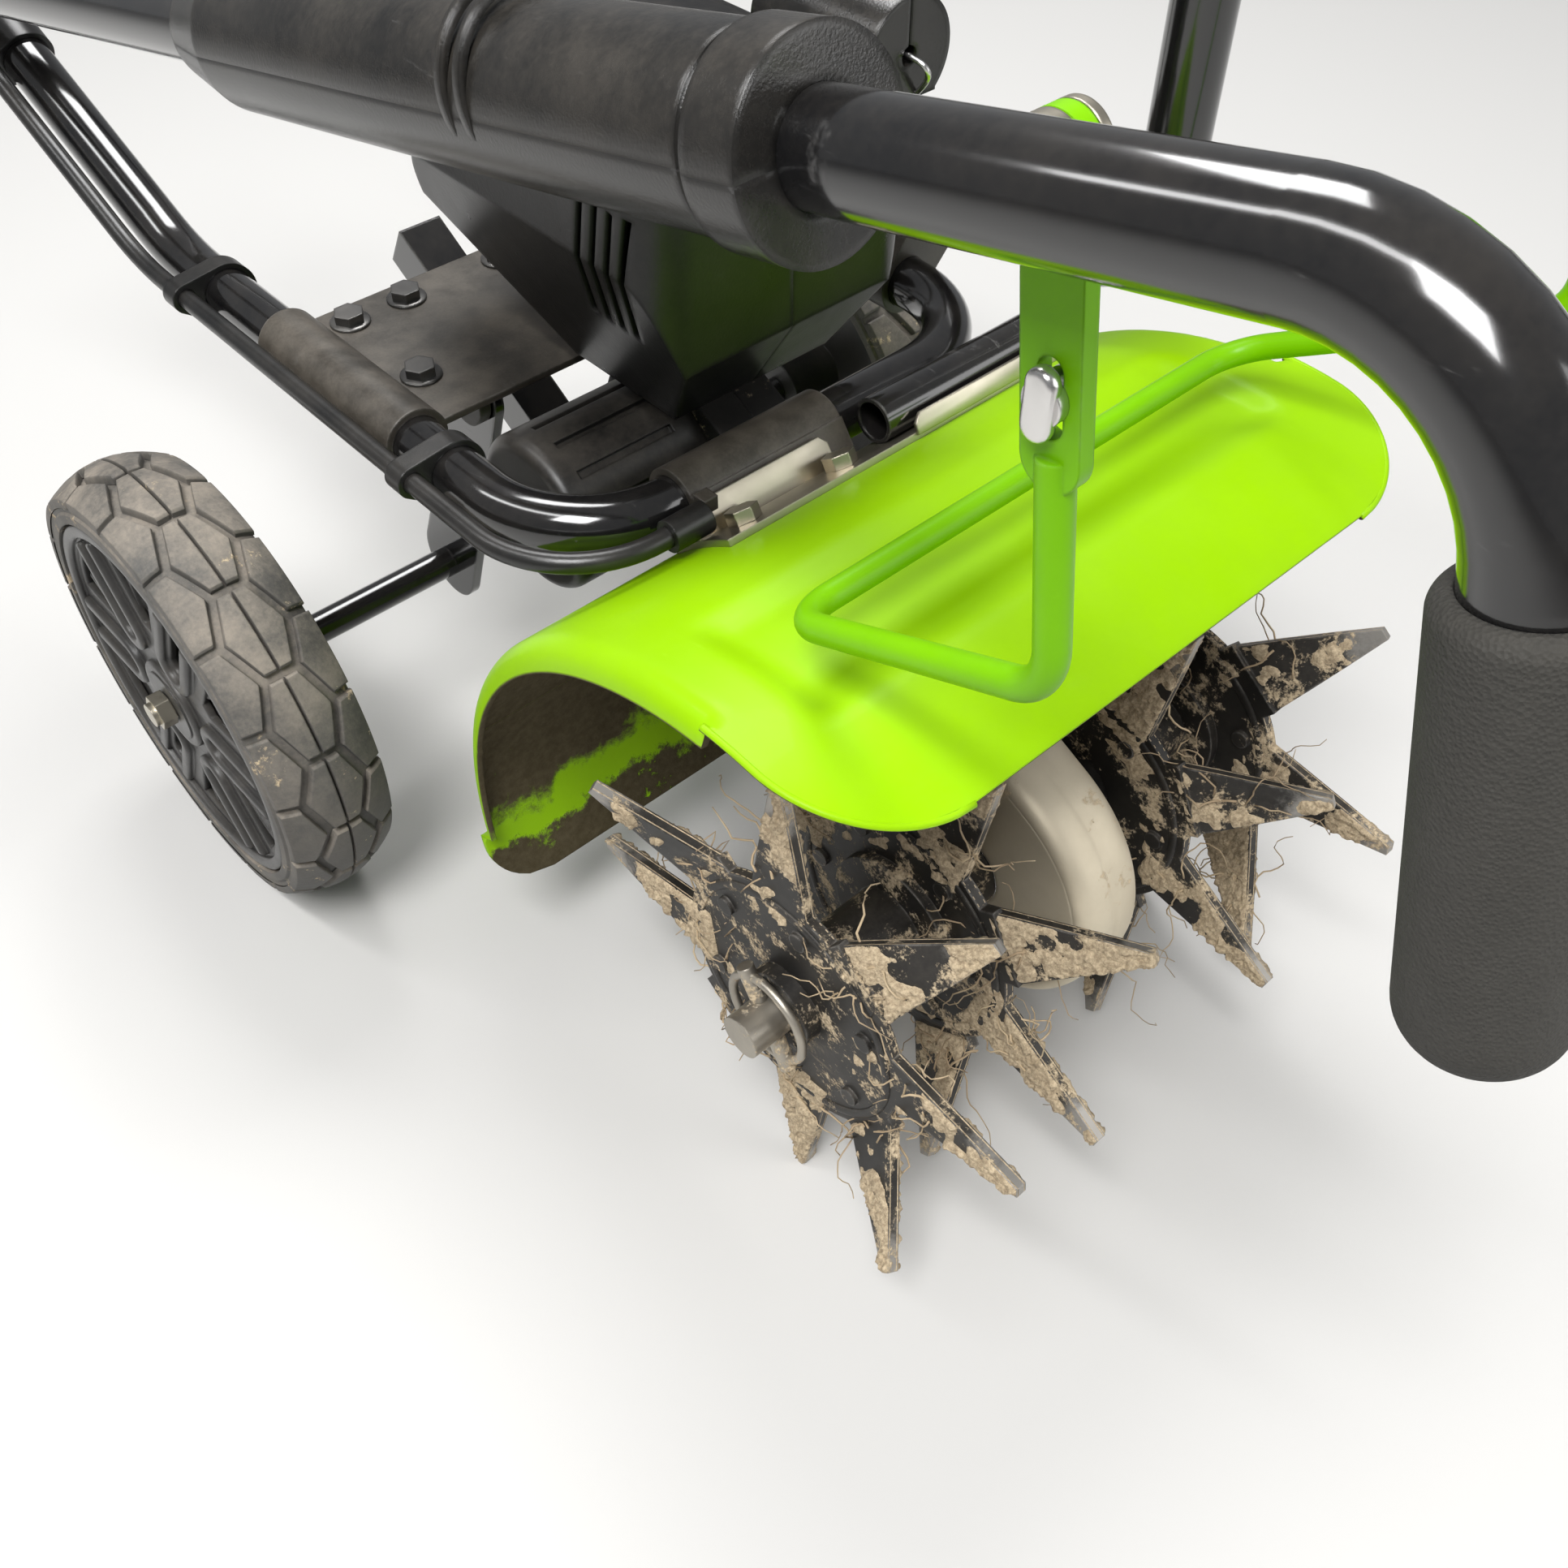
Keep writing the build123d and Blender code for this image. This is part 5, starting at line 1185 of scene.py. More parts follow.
    def _fill_ring(self, body: BMesh) -> None:
        """Add the ring pressed into each face of the disc.

        Args:
            body: The bmesh to fill.
        """
        angles = [pi * k / self.ring_steps for k in range(self.ring_steps + 1)]
        for hand in (-1.0, 1.0):
            profile = []
            for angle in angles:
                across = hand * (self.plate + self.ring_high * sin(angle))
                profile.append((across, self.ring_r - self.ring_wide * cos(angle)))
            profile.append((0.0, self.ring_r))
            add_turned(body, profile, self._round_shaft, self.disc_steps)

    def _fill_soil(self, body: BMesh) -> None:
        """Add crusts on both faces of the blades and thinner spots on the disc.

        Args:
            body: The bmesh to fill.
        """
        for index in range(self.blades):
            for hand in (-1.0, 1.0):
                self._crust_blade(body, index, hand, self.dice.uniform(*self.blade_cover))
        for hand in (-1.0, 1.0):
            self._crust_disc(body, hand)

    def _crust_blade(self, body: BMesh, index: int, hand: float, cover: float) -> None:
        """Add the crust on one face of one blade.

        Args:
            body: The bmesh to fill.
            index: Number of the blade.
            hand: Side of the plate, -1 or 1.
            cover: How much of the face is covered, about 0 for half.
        """
        root, outward, sideways, face = self._blade(index)
        inner = -self.root_in if index % 2 else 0.0
        shift = self._shift()

        def point(i: int, j: int) -> tuple[Vector, Vector]:
            """Find the crust's two points at one place.

            Args:
                i: Row, from the root to the tip.
                j: Column, from the near edge to the far edge.

            Returns:
                The upper and the lower point.
            """
            share = i / self.rows
            out = inner + (self.reach - self.disc - inner) * share
            near, far = self._edge(self.near_edge, share), self._edge(self.far_edge, share)
            base = root + outward * out + sideways * (near + (far - near) * j / self.columns)
            inside = 0 < i < self.rows and 0 < j < self.columns
            high = self._height(base, shift, cover) if inside else 0.0
            upper = base + face * hand * (self.plate - self.sunk + high)
            return upper, base + face * hand * (self.plate - 2 * self.sunk)

        add_slab(body, self.rows, self.columns, point)

    def _crust_disc(self, body: BMesh, hand: float) -> None:
        """Add the soil spots on one face of the disc.

        Args:
            body: The bmesh to fill.
            hand: Side of the plate, -1 or 1.
        """
        shift = self._shift()

        def point(i: int, k: int) -> tuple[Vector, Vector]:
            """Find the crust's two points at one place.

            Args:
                i: Row, from the bore to the disc's edge.
                k: Step round the disc.

            Returns:
                The upper and the lower point.
            """
            radius = self.bore + (self.disc - self.bore) * i / self.disc_rows
            angle = 2 * pi * k / self.disc_steps
            base = self._round_shaft(0.0, angle, radius)
            inside = 0 < i < self.disc_rows and 0 < k < self.disc_steps
            high = self._height(base, shift, self.disc_cover) * self.disc_crust if inside else 0.0
            upper = self._round_shaft(hand * (self.plate - self.sunk + high), angle, radius)
            return upper, self._round_shaft(hand * (self.plate - 2 * self.sunk), angle, radius)

        add_slab(body, self.disc_rows, self.disc_steps, point)

    def _fill_roots(self, body: BMesh) -> None:
        """Add a tuft of dry roots to each blade.

        Args:
            body: The bmesh to fill.
        """
        for index in range(self.blades):
            tuft = self.dice.uniform(*self.tuft_out)
            for _ in range(self.dice.randrange(*self.tuft_roots)):
                self._add_root(body, index, tuft)

    def _add_root(self, body: BMesh, index: int, tuft: float) -> None:
        """Add one root that starts in a blade's tuft and clings to the blade's face.

        Args:
            body: The bmesh to fill.
            index: Number of the blade.
            tuft: How far out on the blade its tuft sits.
        """
        root, outward, sideways, face = self._blade(index)
        away = face * self.dice.choice((-1.0, 1.0))
        lift = self.plate + self.root_lift
        aside, out = (self.dice.uniform(-self.tuft_half, self.tuft_half) for _ in range(2))
        points = [root + outward * (tuft + out) + sideways * aside + away * lift]
        heading = sideways * self.dice.uniform(*self.root_aside) + outward * self.dice.uniform(*self.root_out)
        heading.normalize()
        for _ in range(self.dice.randrange(*self.root_steps)):
            wander = Vector([self.dice.uniform(-1, 1) for _ in range(3)])
            loose = (points[-1] - root).dot(away) - lift
            heading = (heading + wander * self.root_curl - away * loose * self.root_cling).normalized()
            ahead = points[-1] + heading * self.root_step
            spoke = Vector((0.0, ahead.y - self.middle.y, ahead.z - self.middle.z))
            if spoke.length > self.reach - self.root_short:
                heading -= spoke.normalized()
                ahead = points[-1] + heading.normalized() * self.root_step
            points.append(ahead)
        thick = self.dice.uniform(*self.root_thick)
        radii = [thick * (1.0 - self.root_taper * k / len(points)) for k in range(len(points))]
        add_tube(body, points, radii, self.root_sides)


@dataclass
class WheelFace(SubAssembly):
    """Moulded outer face of one wheel hub: windows, hairpin ribs and a raised rim."""

    node: str
    body: Body
    hand: float
    set_in: float = 5.0 * MM
    half: float = 1.6 * MM
    edge: float = 0.7 * MM
    sharp: float = 35.0
    radius: float = 77.6 * MM
    bore: float = 11.0 * MM
    units: int = 6
    slot_in: float = 35.0 * MM
    slot_out: float = 59.0 * MM
    slot_half: float = 4.6 * MM
    window_in: float = 40.0 * MM
    window_out: float = 68.5 * MM
    window_turn: float = 13.5
    window_taper: float = 0.32
    rib_out: float = 70.0 * MM
    rib_in: float = 35.0 * MM
    rib_half: float = 8.4 * MM
    rib_wide: float = 5.2 * MM
    rib_high: float = 4.4 * MM
    rib_edge: float = 1.5 * MM
    rim_in: float = 72.0 * MM
    boss_in: float = 14.0 * MM
    boss_out: float = 19.5 * MM
    arc_steps: int = 10
    round_step: int = 3
    bore_step: int = 10

    def __post_init__(self) -> None:
        """Set the face's plane a little inside the hub's outer end."""
        low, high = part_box(self.node)
        out = ACROSS * self.hand
        place = (low + high) / 2 + out * ((high.x - low.x) / 2 - self.set_in)
        self.base = Matrix.Translation(place) @ out.to_track_quat("Z", "Y").to_matrix().to_4x4()

    def pieces(self) -> list[Piece]:
        """The face, over its hub."""
        modifiers = (split_at(self.sharp),)
        return [Piece(f"{self.node}_face", self._fill, "hub_plastic", self.body, "hub_plastic", "", modifiers)]

    @staticmethod
    def _turned(outline: Outline, turn: float) -> list[tuple[float, float]]:
        """An outline turned about the wheel's centre."""
        c, s = cos(radians(turn)), sin(radians(turn))
        return [(u * c - v * s, u * s + v * c) for u, v in outline]

    def _slot(self) -> Outline:
        """Long hole inside a hairpin rib."""
        inner = arc(self.slot_in, self.slot_half, 90.0, 270.0, self.arc_steps)
        return inner + arc(self.slot_out, self.slot_half, -90.0, 90.0, self.arc_steps)

    def _window(self) -> Outline:
        """Draw the tapered window between two hairpin ribs.

        Returns:
            Its outline.
        """
        narrow = self.window_turn * self.window_taper
        outer = arc(0.0, self.window_out, -self.window_turn, self.window_turn, self.arc_steps)
        return outer + arc(0.0, self.window_in, narrow, -narrow, self.arc_steps)

    def _rib(self) -> Outline:
        """Draw one hairpin rib, open at the rim.

        Returns:
            Its outline.
        """
        outer, inner = self.rib_half + self.rib_wide / 2, self.rib_half - self.rib_wide / 2
        rib = [(self.rib_out, outer)] + arc(self.rib_in, outer, 90.0, 270.0, self.arc_steps)
        rib += [(self.rib_out, -outer), (self.rib_out, -inner)]
        return rib + arc(self.rib_in, inner, 270.0, 90.0, self.arc_steps) + [(self.rib_out, inner)]

    def _fill(self, body: BMesh) -> None:
        """Add the ribs, the plate, the rim and the boss ring.

        Args:
            body: The bmesh to fill.
        """
        step = 360.0 / self.units
        slot, window, rib = self._slot(), self._window(), self._rib()
        outlines = [circle(self.radius, self.round_step), circle(self.bore, self.bore_step)]
        half = self.rib_high / 2
        raised = self.base @ Matrix.Translation((0.0, 0.0, self.half + half - self.rib_edge))
        for k in range(self.units):
            outlines += [self._turned(slot, step * k), self._turned(window, step * (k + 0.5))]
            add_plate(body, [self._turned(rib, step * k)], half, self.rib_edge, raised)
        add_plate(body, outlines, self.half, self.edge, self.base)
        for inner, outer in ((self.rim_in, self.radius), (self.boss_in, self.boss_out)):
            rings = [circle(outer, self.round_step), circle(inner, self.round_step)]
            add_plate(body, rings, half, self.rib_edge, raised)


@dataclass
class CaseRim(SubAssembly):
    """Rounded edge of the drive case where it hangs between the tines, with its parting line."""

    radius: float = 50.0 * MM
    half: float = 15.0 * MM
    high: float = 6.0 * MM
    sunk: float = 1.5 * MM
    sunk_share: float = 0.96
    arc_from: float = 115.9
    arc_to: float = 305.0
    flank: float = 110.0 * MM
    flank_steps: int = 20
    fade_steps: float = 6.0
    seam: float = 0.7 * MM
    across: int = 28
    steps: int = 70

    def pieces(self) -> list[Piece]:
        """The rim, over both halves of the case."""
        return [Piece("case_rim", self._fill, "alloy", Body.CHASSIS)]

    def _fill(self, body: BMesh) -> None:
        """Add the band down the front flank and round the lower end.

        Args:
            body: The bmesh to fill.
        """
        start, span = radians(self.arc_from), radians(self.arc_to - self.arc_from)
        line = [(self.flank * k / self.flank_steps, start) for k in range(self.flank_steps, 0, -1)]
        line += [(0.0, start + span * k / self.steps) for k in range(self.steps + 1)]
        last = len(line) - 1

        def point(i: int, j: int) -> tuple[Vector, Vector]:
            """Find the band's two points at one place.

            Args:
                i: Step along the band.
                j: Step across the band.

            Returns:
                The upper and the lower point.
            """
            along, angle = line[i]
            out = Vector((0.0, cos(angle), sin(angle)))
            base = SHAFT.at(0.0) + Vector((0.0, sin(angle), -cos(angle))) * along
            rise = self.high * smooth_step(min(i, last - i), 0.0, self.fade_steps)
            share = -cos(pi * j / self.across)
            side = ACROSS * (share * self.half)
            seam = self.seam if j == self.across // 2 else 0.0
            dome = rise * max(0.0, 1.0 - share**4) ** 0.5 - seam
            lower = base + side * self.sunk_share + out * (self.radius - self.sunk)
            return base + side + out * (self.radius + dome), lower

        add_slab(body, last, self.across, point)


@dataclass
class BracketFlange(SubAssembly):
    """One upright zinc flange that stands out from the guard."""

    name: str = "bracket_flange"
    left: float = -60.0 * MM
    right: float = -1.0 * MM
    low: float = 147.6 * MM
    high: float = 159.5 * MM
    corner: float = 3.0 * MM
    half: float = 0.8 * MM
    edge: float = 0.3 * MM
    sharp: float = 35.0
    angle: float = 54.7

    def pieces(self) -> list[Piece]:
        """The flange."""
        return [Piece(self.name, self._fill, "zinc", Body.CHASSIS, "zinc", "", (split_at(self.sharp),))]

    def _fill(self, body: BMesh) -> None:
        """Add the plate with its two cut corners.

        Args:
            body: The bmesh to fill.
        """
        left, right, top = self.left, self.right, self.high - self.corner
        outline = [(left, self.low), (left, top), (left + self.corner, self.high)]
        outline += [(right - self.corner, self.high), (right, top), (right, self.low)]
        c, s = cos(radians(self.angle)), sin(radians(self.angle))
        place = Matrix((ACROSS, (0.0, c, s), (0.0, -s, c))).transposed().to_4x4()
        place.translation = SHAFT.at(0.0)
        add_plate(body, [outline], self.half, self.edge, place)


@dataclass
class FoamGrip(SubAssembly):
    """Foam grip over the end of one handle tube, with a full round lower end and a small vent in it."""

    node: str
    radius: float = 14.0 * MM
    bore: float = 10.3 * MM
    lean: float = 30.0
    drop: float = 115.0
    node_round: float = 3.0 * MM
    top_round: float = 3.4 * MM
    end_round: float = 10.5 * MM
    cap: float = 5.0 * MM
    vent: float = 0.9 * MM
    arc_steps: int = 12
    steps: int = 72

    def __post_init__(self) -> None:
        """Find the grip's line and length from its node's box."""
        low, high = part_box(self.node)
        slant = hypot(self.lean, self.drop)
        self.down = Vector((0.0, -self.lean / slant, -self.drop / slant))
        straight = (high.z - low.z) / 2 - self.node_round - (self.radius - self.node_round) * self.lean / slant
        self.length = 2 * (straight * slant / self.drop + self.node_round)
        self.start = (low + high) / 2 - self.down * self.length / 2

    def pieces(self) -> list[Piece]:
        """The foam, in place of its plainer node."""
        return [Piece(f"{self.node}_foam", self._fill, "grip_foam", Body.HANDLE, "foam", self.node)]

    def _place(self, along: float, angle: float, radius: float) -> Vector:
        """Point at a distance down the grip, an angle round it and a radius."""
        spoke = ACROSS * cos(angle) + self.down.cross(ACROSS) * sin(angle)
        return self.start + self.down * along + spoke * radius

    def _fill(self, body: BMesh) -> None:
        """Add the turned foam sleeve.

        Args:
            body: The bmesh to fill.
        """
        quarter = [pi / 2 * k / self.arc_steps for k in range(self.arc_steps + 1)]
        top, end = self.top_round, self.end_round
        profile = [(top - top * cos(a), self.radius - top + top * sin(a)) for a in quarter]
        profile += [(self.length - end + end * sin(a), self.radius - end + end * cos(a)) for a in quarter]
        profile += [(self.length, self.vent), (self.length - self.cap, self.vent)]
        profile += [(self.length - self.cap, self.bore), (top, self.bore)]
        add_turned(body, profile, self._place, self.steps)


@dataclass
class BailClip(SubAssembly):
    """Bright rounded clip in the flat of the bail's left leg."""

    length: float = 15.0 * MM
    half_wide: float = 3.4 * MM
    half: float = 1.8 * MM
    edge: float = 1.3 * MM
    steps: int = 12

    def pieces(self) -> list[Piece]:
        """The clip."""
        return [Piece("bail_clip", self._fill, "chrome", Body.BAIL)]

    def _fill(self, body: BMesh) -> None:
        """Add the clip over the nipple.

        Args:
            body: The bmesh to fill.
        """
        low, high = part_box("bail_nipple")
        middle = (low + high) / 2
        reach = self.length / 2 - self.half_wide
        outline = arc(reach, self.half_wide, -90.0, 90.0, self.steps)
        outline += arc(-reach, self.half_wide, 90.0, 270.0, self.steps)
        turn = (-ACROSS).to_track_quat("Z", "Y").to_matrix().to_4x4()
        upright = Matrix.Rotation(pi / 2, 4, "Z")
        place = Matrix.Translation((low.x, middle.y, middle.z)) @ turn @ upright
        add_plate(body, [outline], self.half, self.edge, place)


@dataclass
class DeckWashers(SubAssembly):
    """Washers under the deck bolts, made from the bolts' own places."""

    radius: float = 7.4 * MM
    bore: float = 3.2 * MM
    thick: float = 1.1 * MM
    edge_share: float = 0.7
    edge: float = 0.4 * MM
    head: float = 4.5 * MM
    sharp: float = 40.0
    steps: int = 28

    def __post_init__(self) -> None:
        """Find the deck's face under the bolts' heads."""
        self.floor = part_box("deck_bolts")[1].z - self.head

    def pieces(self) -> list[Piece]:
        """All washers in one piece."""
        return [Piece("deck_washers", self._fill, "dark_bolt", Body.CHASSIS, "zinc", "", (split_at(self.sharp),))]

    @staticmethod
    def _bolt_places() -> list[Vector]:
        """Find the middle of each loose part of the bolts' mesh.

        Returns:
            The middles.
        """
        node = frame["nodes"]["deck_bolts"]
        body = bmesh.new()
        body.from_mesh(node.data)
        bmesh.ops.remove_doubles(body, verts=body.verts, dist=MM * MM)
        seen: set[int] = set()
        places = []
        for start in body.verts:
            if start.index in seen:
                continue
            island, queue = [], [start]
            seen.add(start.index)
            while queue:
                vertex = queue.pop()
                island.append(node.matrix_world @ vertex.co)
                for edge in vertex.link_edges:
                    other = edge.other_vert(vertex)
                    if other.index not in seen:
                        seen.add(other.index)
                        queue.append(other)
            places.append(sum(island, Vector()) / len(island))
        body.free()
        return places

    def _on_washer(self, middle: Vector, up: float, angle: float, radius: float) -> Vector:
        """Point at a height over the deck, an angle round a bolt and a radius."""
        return Vector((middle.x + radius * cos(angle), middle.y + radius * sin(angle), self.floor + up))

    def _fill(self, body: BMesh) -> None:
        """Add one washer at each bolt.

        Args:
            body: The bmesh to fill.
        """
        profile = [(0.0, self.bore), (0.0, self.radius), (self.thick * self.edge_share, self.radius)]
        profile += [(self.thick, self.radius - self.edge), (self.thick, self.bore)]
        for place in self._bolt_places():
            add_turned(body, profile, partial(self._on_washer, place), self.steps)


@dataclass(frozen=True)
class Screw:
    """A domed screw head with a cross recess."""

    place: Vector
    facing: Vector
    radius: float = 3.4 * MM
    dome: float = 1.7 * MM
    dome_share: float = 0.75
    recess: float = 1.0 * MM
    recess_reach: float = 0.6
    recess_half: float = 0.14
    shares: tuple[float, ...] = (1.0, 0.98, 0.86, 0.66, 0.52, 0.36, 0.2)
    steps: int = 40

    def add_to(self, body: BMesh) -> None:
        """Add the head to a bmesh.

        Args:
            body: The bmesh to fill.
        """
        turn = self.facing.to_track_quat("Z", "X")
        rings = []
        for index, share in enumerate(self.shares):
            ring = []
            for k in range(self.steps):
                angle = 2 * pi * k / self.steps
                rise = self.dome * (1.0 - self.dome_share * share**2) if index else 0.0
                across, along = share * cos(angle), share * sin(angle)
                if share < self.recess_reach and min(abs(across), abs(along)) < self.recess_half:
                    rise -= self.recess
                spot = turn @ Vector((across * self.radius, along * self.radius, rise))
                ring.append(body.verts.new(self.place + spot))
            rings.append(ring)
        bridge(body, rings)
        body.faces.new(rings[-1])
        body.faces.new(rings[0][::-1])


@dataclass
class HousingTrim(SubAssembly):
    """Screws on the right shell of the battery housing and the bright wire at the connector."""

    rear_in: float = 52.8 * MM
    front_in: float = 24.0 * MM
    drop: float = 15.0 * MM
    sharp: float = 45.0
    wire: float = 0.9 * MM
    wire_reach: float = 8.0 * MM
    wire_in: float = 2.0 * MM
    wire_aside: float = 4.0 * MM
    wire_drop: float = 0.42
    wire_steps: int = 16
    wire_sides: int = 10

    def pieces(self) -> list[Piece]:
        """List the screws and the wire.

        Returns:
            The two pieces.
        """
        modifiers = (split_at(self.sharp),)
        return [
            Piece("housing_screws", self._fill_screws, "zinc", Body.CHASSIS, modifiers=modifiers),
            Piece("connector_wire", self._fill_wire, "chrome", Body.CHASSIS),
        ]

    def _fill_screws(self, body: BMesh) -> None:
        """Add a screw near each upper end of the right shell's side.

        Args:
            body: The bmesh to fill.
        """
        low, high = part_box("housing_right")
        for y in (low.y + self.rear_in, high.y - self.front_in):
            Screw(Vector((high.x, y, high.z - self.drop)), ACROSS).add_to(body)

    def _fill_wire(self, body: BMesh) -> None:
        """Add a short bright wire that loops from the connector's bore down towards the housing.

        Args:
            body: The bmesh to fill.
        """
        low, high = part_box("connector")
        middle = (low + high) / 2
        points = []
        for k in range(self.wire_steps + 1):
            share = k / self.wire_steps
            drop = (high.z - low.z) * self.wire_drop * share**2
            ahead = self.wire_reach * sin(pi * share)
            x = middle.x + self.wire_aside * share
            points.append(Vector((x, low.y + self.wire_in - ahead, middle.z - drop)))
        add_tube(body, points, [self.wire] * len(points), self.wire_sides)


@dataclass
class ControlTrim(SubAssembly):
    """Raised bands and underside screws of the control housing on the left handle arm."""

    run: float = 677.0
    rise: float = 143.0
    length: float = 236.0 * MM
    radius: float = 18.5 * MM
    bands: tuple[float, ...] = (84.0 * MM, 91.0 * MM)
    band_high: float = 0.8 * MM
    band_wide: float = 3.0 * MM
    band_edge: float = 0.4 * MM
    band_sunk: float = 1.0 * MM
    screw_places: tuple[float, ...] = (40.0 * MM, 120.0 * MM, 190.0 * MM)
    screw_aside: float = 0.5
    screw_sunk: float = 0.2 * MM
    sharp: float = 42.0
    steps: int = 64

    def __post_init__(self) -> None:
        """Find the housing's line from the boxes of the tube and both shells."""
        tube_low, tube_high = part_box("left_handle_tube")
        upper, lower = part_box("control_housing_upper"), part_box("control_housing_lower")
        slant = hypot(self.run, self.rise)
        self.back = Vector((0.0, self.run / slant, -self.rise / slant))
        self.up = Vector((0.0, self.rise / slant, self.run / slant))
        middle_y = (min(upper[0].y, lower[0].y) + max(upper[1].y, lower[1].y)) / 2
        middle_z = (min(upper[0].z, lower[0].z) + max(upper[1].z, lower[1].z)) / 2
        middle = Vector(((tube_low.x + tube_high.x) / 2, middle_y, middle_z))
        self.start = middle - self.back * self.length / 2

    def pieces(self) -> list[Piece]:
        """List the bands and the screws.

        Returns:
            The two pieces.
        """
        modifiers = (split_at(self.sharp),)
        return [
            Piece("control_bands", self._fill_bands, "housing_plastic", Body.HANDLE, modifiers=modifiers),
            Piece("control_screws", self._fill_screws, "zinc", Body.HANDLE, modifiers=modifiers),
        ]

    def _on_housing(self, start: float, along: float, angle: float, radius: float) -> Vector:
        """Point at a distance behind a start along the housing, an angle round it and a radius."""
        spoke = ACROSS * sin(angle) + self.up * cos(angle)
        return self.start + self.back * (start + along) + spoke * radius

    def _fill_bands(self, body: BMesh) -> None:
        """Add the raised bands.

        Args:
            body: The bmesh to fill.
        """
        top, foot = self.radius + self.band_high, self.radius - self.band_sunk
        wide, edge = self.band_wide, self.band_edge
        profile = [(0.0, foot), (edge, top), (wide - edge, top), (wide, foot)]
        for band in self.bands:
            add_turned(body, profile, partial(self._on_housing, band), self.steps)

    def _fill_screws(self, body: BMesh) -> None:
        """Add the screws on the underside.

        Args:
            body: The bmesh to fill.
        """
        facing = (ACROSS * self.screw_aside - self.up).normalized()
        for along in self.screw_places:
            place = self.start + self.back * along + facing * (self.radius - self.screw_sunk)
            Screw(place, facing).add_to(body)


@dataclass(frozen=True)
class Lamp:
    """One soft lamp aimed at the machine, its second side along the handle."""

    name: str
    place: tuple[float, float, float]
    sides: tuple[float, float]
    power: float
    aim: tuple[float, float, float] = (0.0, -0.05, 0.2)
    handle: tuple[float, float, float] = (0.215, -0.976, 0.026)

    def add(self) -> None:
        """Add the lamp to the scene."""
        data = bpy.data.lights.new(self.name, "AREA")
        data.shape = "RECTANGLE"
        data.size, data.size_y = self.sides
        data.energy = self.power
        lamp = bpy.data.objects.new(self.name, data)
        lamp.location = self.place
        back = (Vector(self.place) - Vector(self.aim)).normalized()
        side = Vector(self.handle).cross(back).normalized()
        lamp.rotation_euler = Matrix((side, back.cross(side), back)).transposed().to_euler()
        bpy.context.scene.collection.objects.link(lamp)


LAMPS = (
    Lamp("key_softbox", (-0.9, -0.6, 1.7), (0.7, 0.7), 32.0),
    Lamp("top_softbox", (0.5, 0.8, 1.9), (0.8, 0.8), 28.0),
    Lamp("front_fill", (0.9, -1.7, 0.9), (1.2, 1.2), 14.0),
    Lamp("tube_strip", (-0.73, 0.15, 1.5), (0.16, 1.8), 11.0),
)


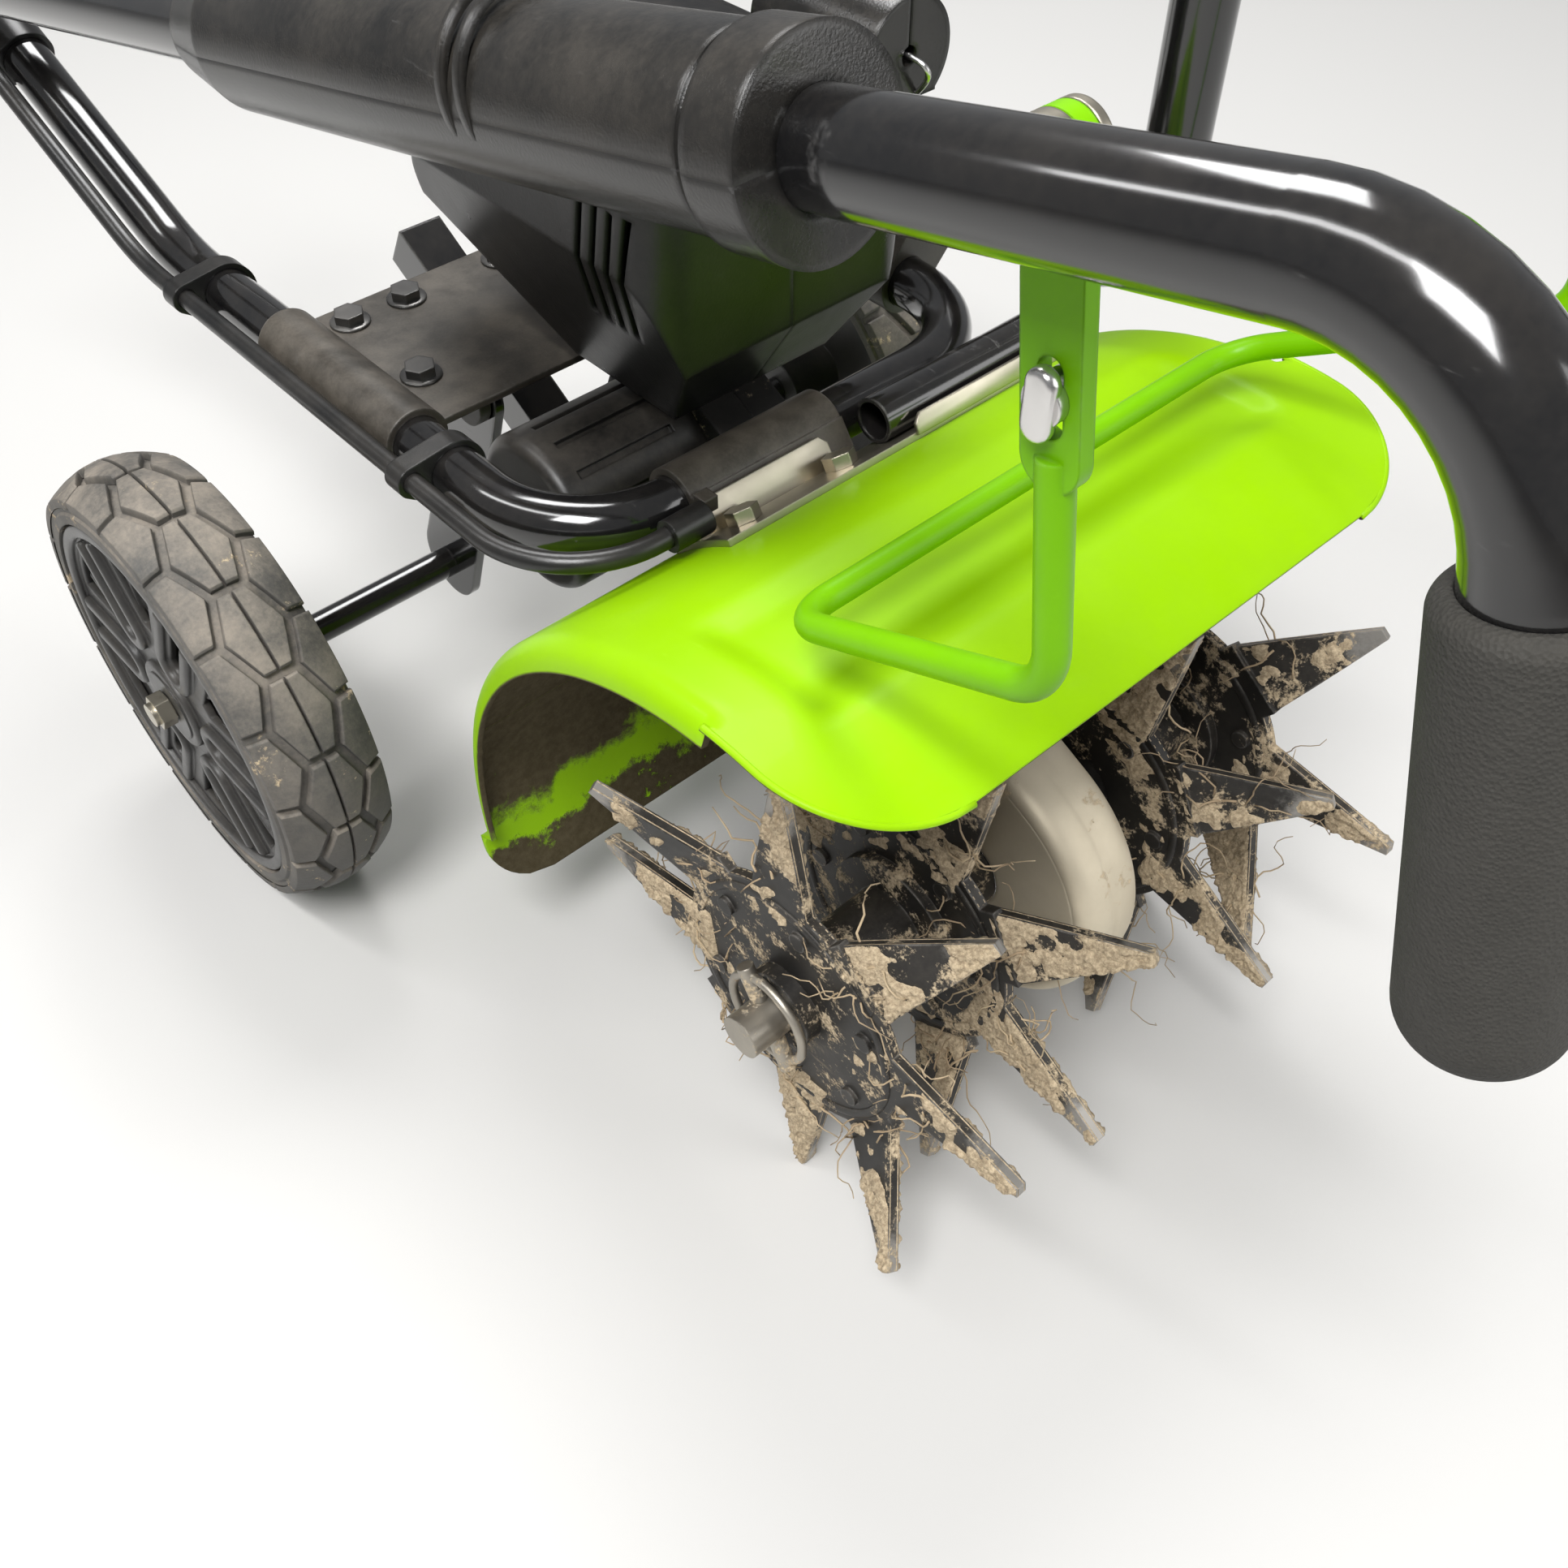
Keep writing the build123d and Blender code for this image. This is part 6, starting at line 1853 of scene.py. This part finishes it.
@dataclass
class Studio:
    """Camera, lamps, world and floor."""

    place: tuple[float, float, float] = (-0.297, -0.3823, 0.530)
    pitch: float = 48.0
    heading: float = 42.4
    lens: float = 35.4
    sensor: float = 36.0
    nearest: float = 0.01
    sky_colour: Colour = (0.9, 0.92, 0.95)
    sky_strength: float = 0.3
    floor_half: float = 6.0
    floor_colour: Colour = (0.58, 0.572, 0.556)
    floor_rough: float = 0.85

    def build(self) -> None:
        """Set up the camera, the lamps, the world and the floor."""
        bpy.context.scene.view_settings.view_transform = "Standard"
        self._camera()
        for lamp in LAMPS:
            lamp.add()
        self._world()
        self._floor()

    def _camera(self) -> None:
        """Add the camera at the photograph's viewing angle."""
        data = bpy.data.cameras.new("photo_camera")
        data.lens = self.lens
        data.sensor_width = self.sensor
        data.clip_start = self.nearest
        camera = bpy.data.objects.new("photo_camera", data)
        camera.location = self.place
        camera.rotation_euler = (radians(90.0 - self.pitch), 0.0, radians(-self.heading))
        bpy.context.scene.collection.objects.link(camera)
        bpy.context.scene.camera = camera

    def _world(self) -> None:
        """Add plain soft light from all round."""
        world = bpy.data.worlds.new("studio_world")
        world.use_nodes = True
        sky = world.node_tree.nodes["Background"]
        sky.inputs[0].default_value = (*self.sky_colour, 1.0)
        sky.inputs[1].default_value = self.sky_strength
        bpy.context.scene.world = world

    def _fill_floor(self, body: BMesh) -> None:
        """Add the floor's one face."""
        corners = ((-1, -1), (1, -1), (1, 1), (-1, 1))
        body.faces.new([body.verts.new((x * self.floor_half, y * self.floor_half, 0.0)) for x, y in corners])

    def _floor(self) -> None:
        """Add the plain pale floor."""
        floor = mesh_object("floor", self._fill_floor)
        material = bpy.data.materials.new("pale_floor")
        material.use_nodes = True
        shader = material.node_tree.nodes["Principled BSDF"]
        shader.inputs["Base Color"].default_value = (*self.floor_colour, 1.0)
        shader.inputs["Roughness"].default_value = self.floor_rough
        floor.data.materials.append(material)


def main() -> None:
    """Build the scene in order."""
    logging.basicConfig(level=logging.INFO)
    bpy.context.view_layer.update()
    Studio().build()
    wardrobe = Wardrobe()
    wardrobe.dress_nodes()
    assemblies: list[SubAssembly] = [
        Tyre("left_tyre", Body.LEFT_WHEEL),
        Tyre("right_tyre", Body.RIGHT_WHEEL),
        Guard(),
        WheelFace("left_wheel_hub", Body.LEFT_WHEEL, -1.0),
        WheelFace("right_wheel_hub", Body.RIGHT_WHEEL, 1.0),
        CaseRim(),
        BracketFlange(),
        BracketFlange("sleeve_flange", 22.0 * MM, 84.0 * MM, high=154.5 * MM, angle=61.3),
        FoamGrip("left_grip"),
        FoamGrip("right_grip"),
        BailClip(),
        DeckWashers(),
        HousingTrim(),
        ControlTrim(),
        SoiledStar("left_outer_tines", phase=37.0, seed=3),
        SoiledStar("left_inner_tines", phase=59.5, seed=4),
        SoiledStar("right_inner_tines", phase=59.5, seed=5),
        SoiledStar("right_outer_tines", phase=37.0, seed=6),
    ]
    for assembly in assemblies:
        for piece in assembly.build(wardrobe):
            log.info("built %s", piece.name)


if __name__ == "__main__":
    main()
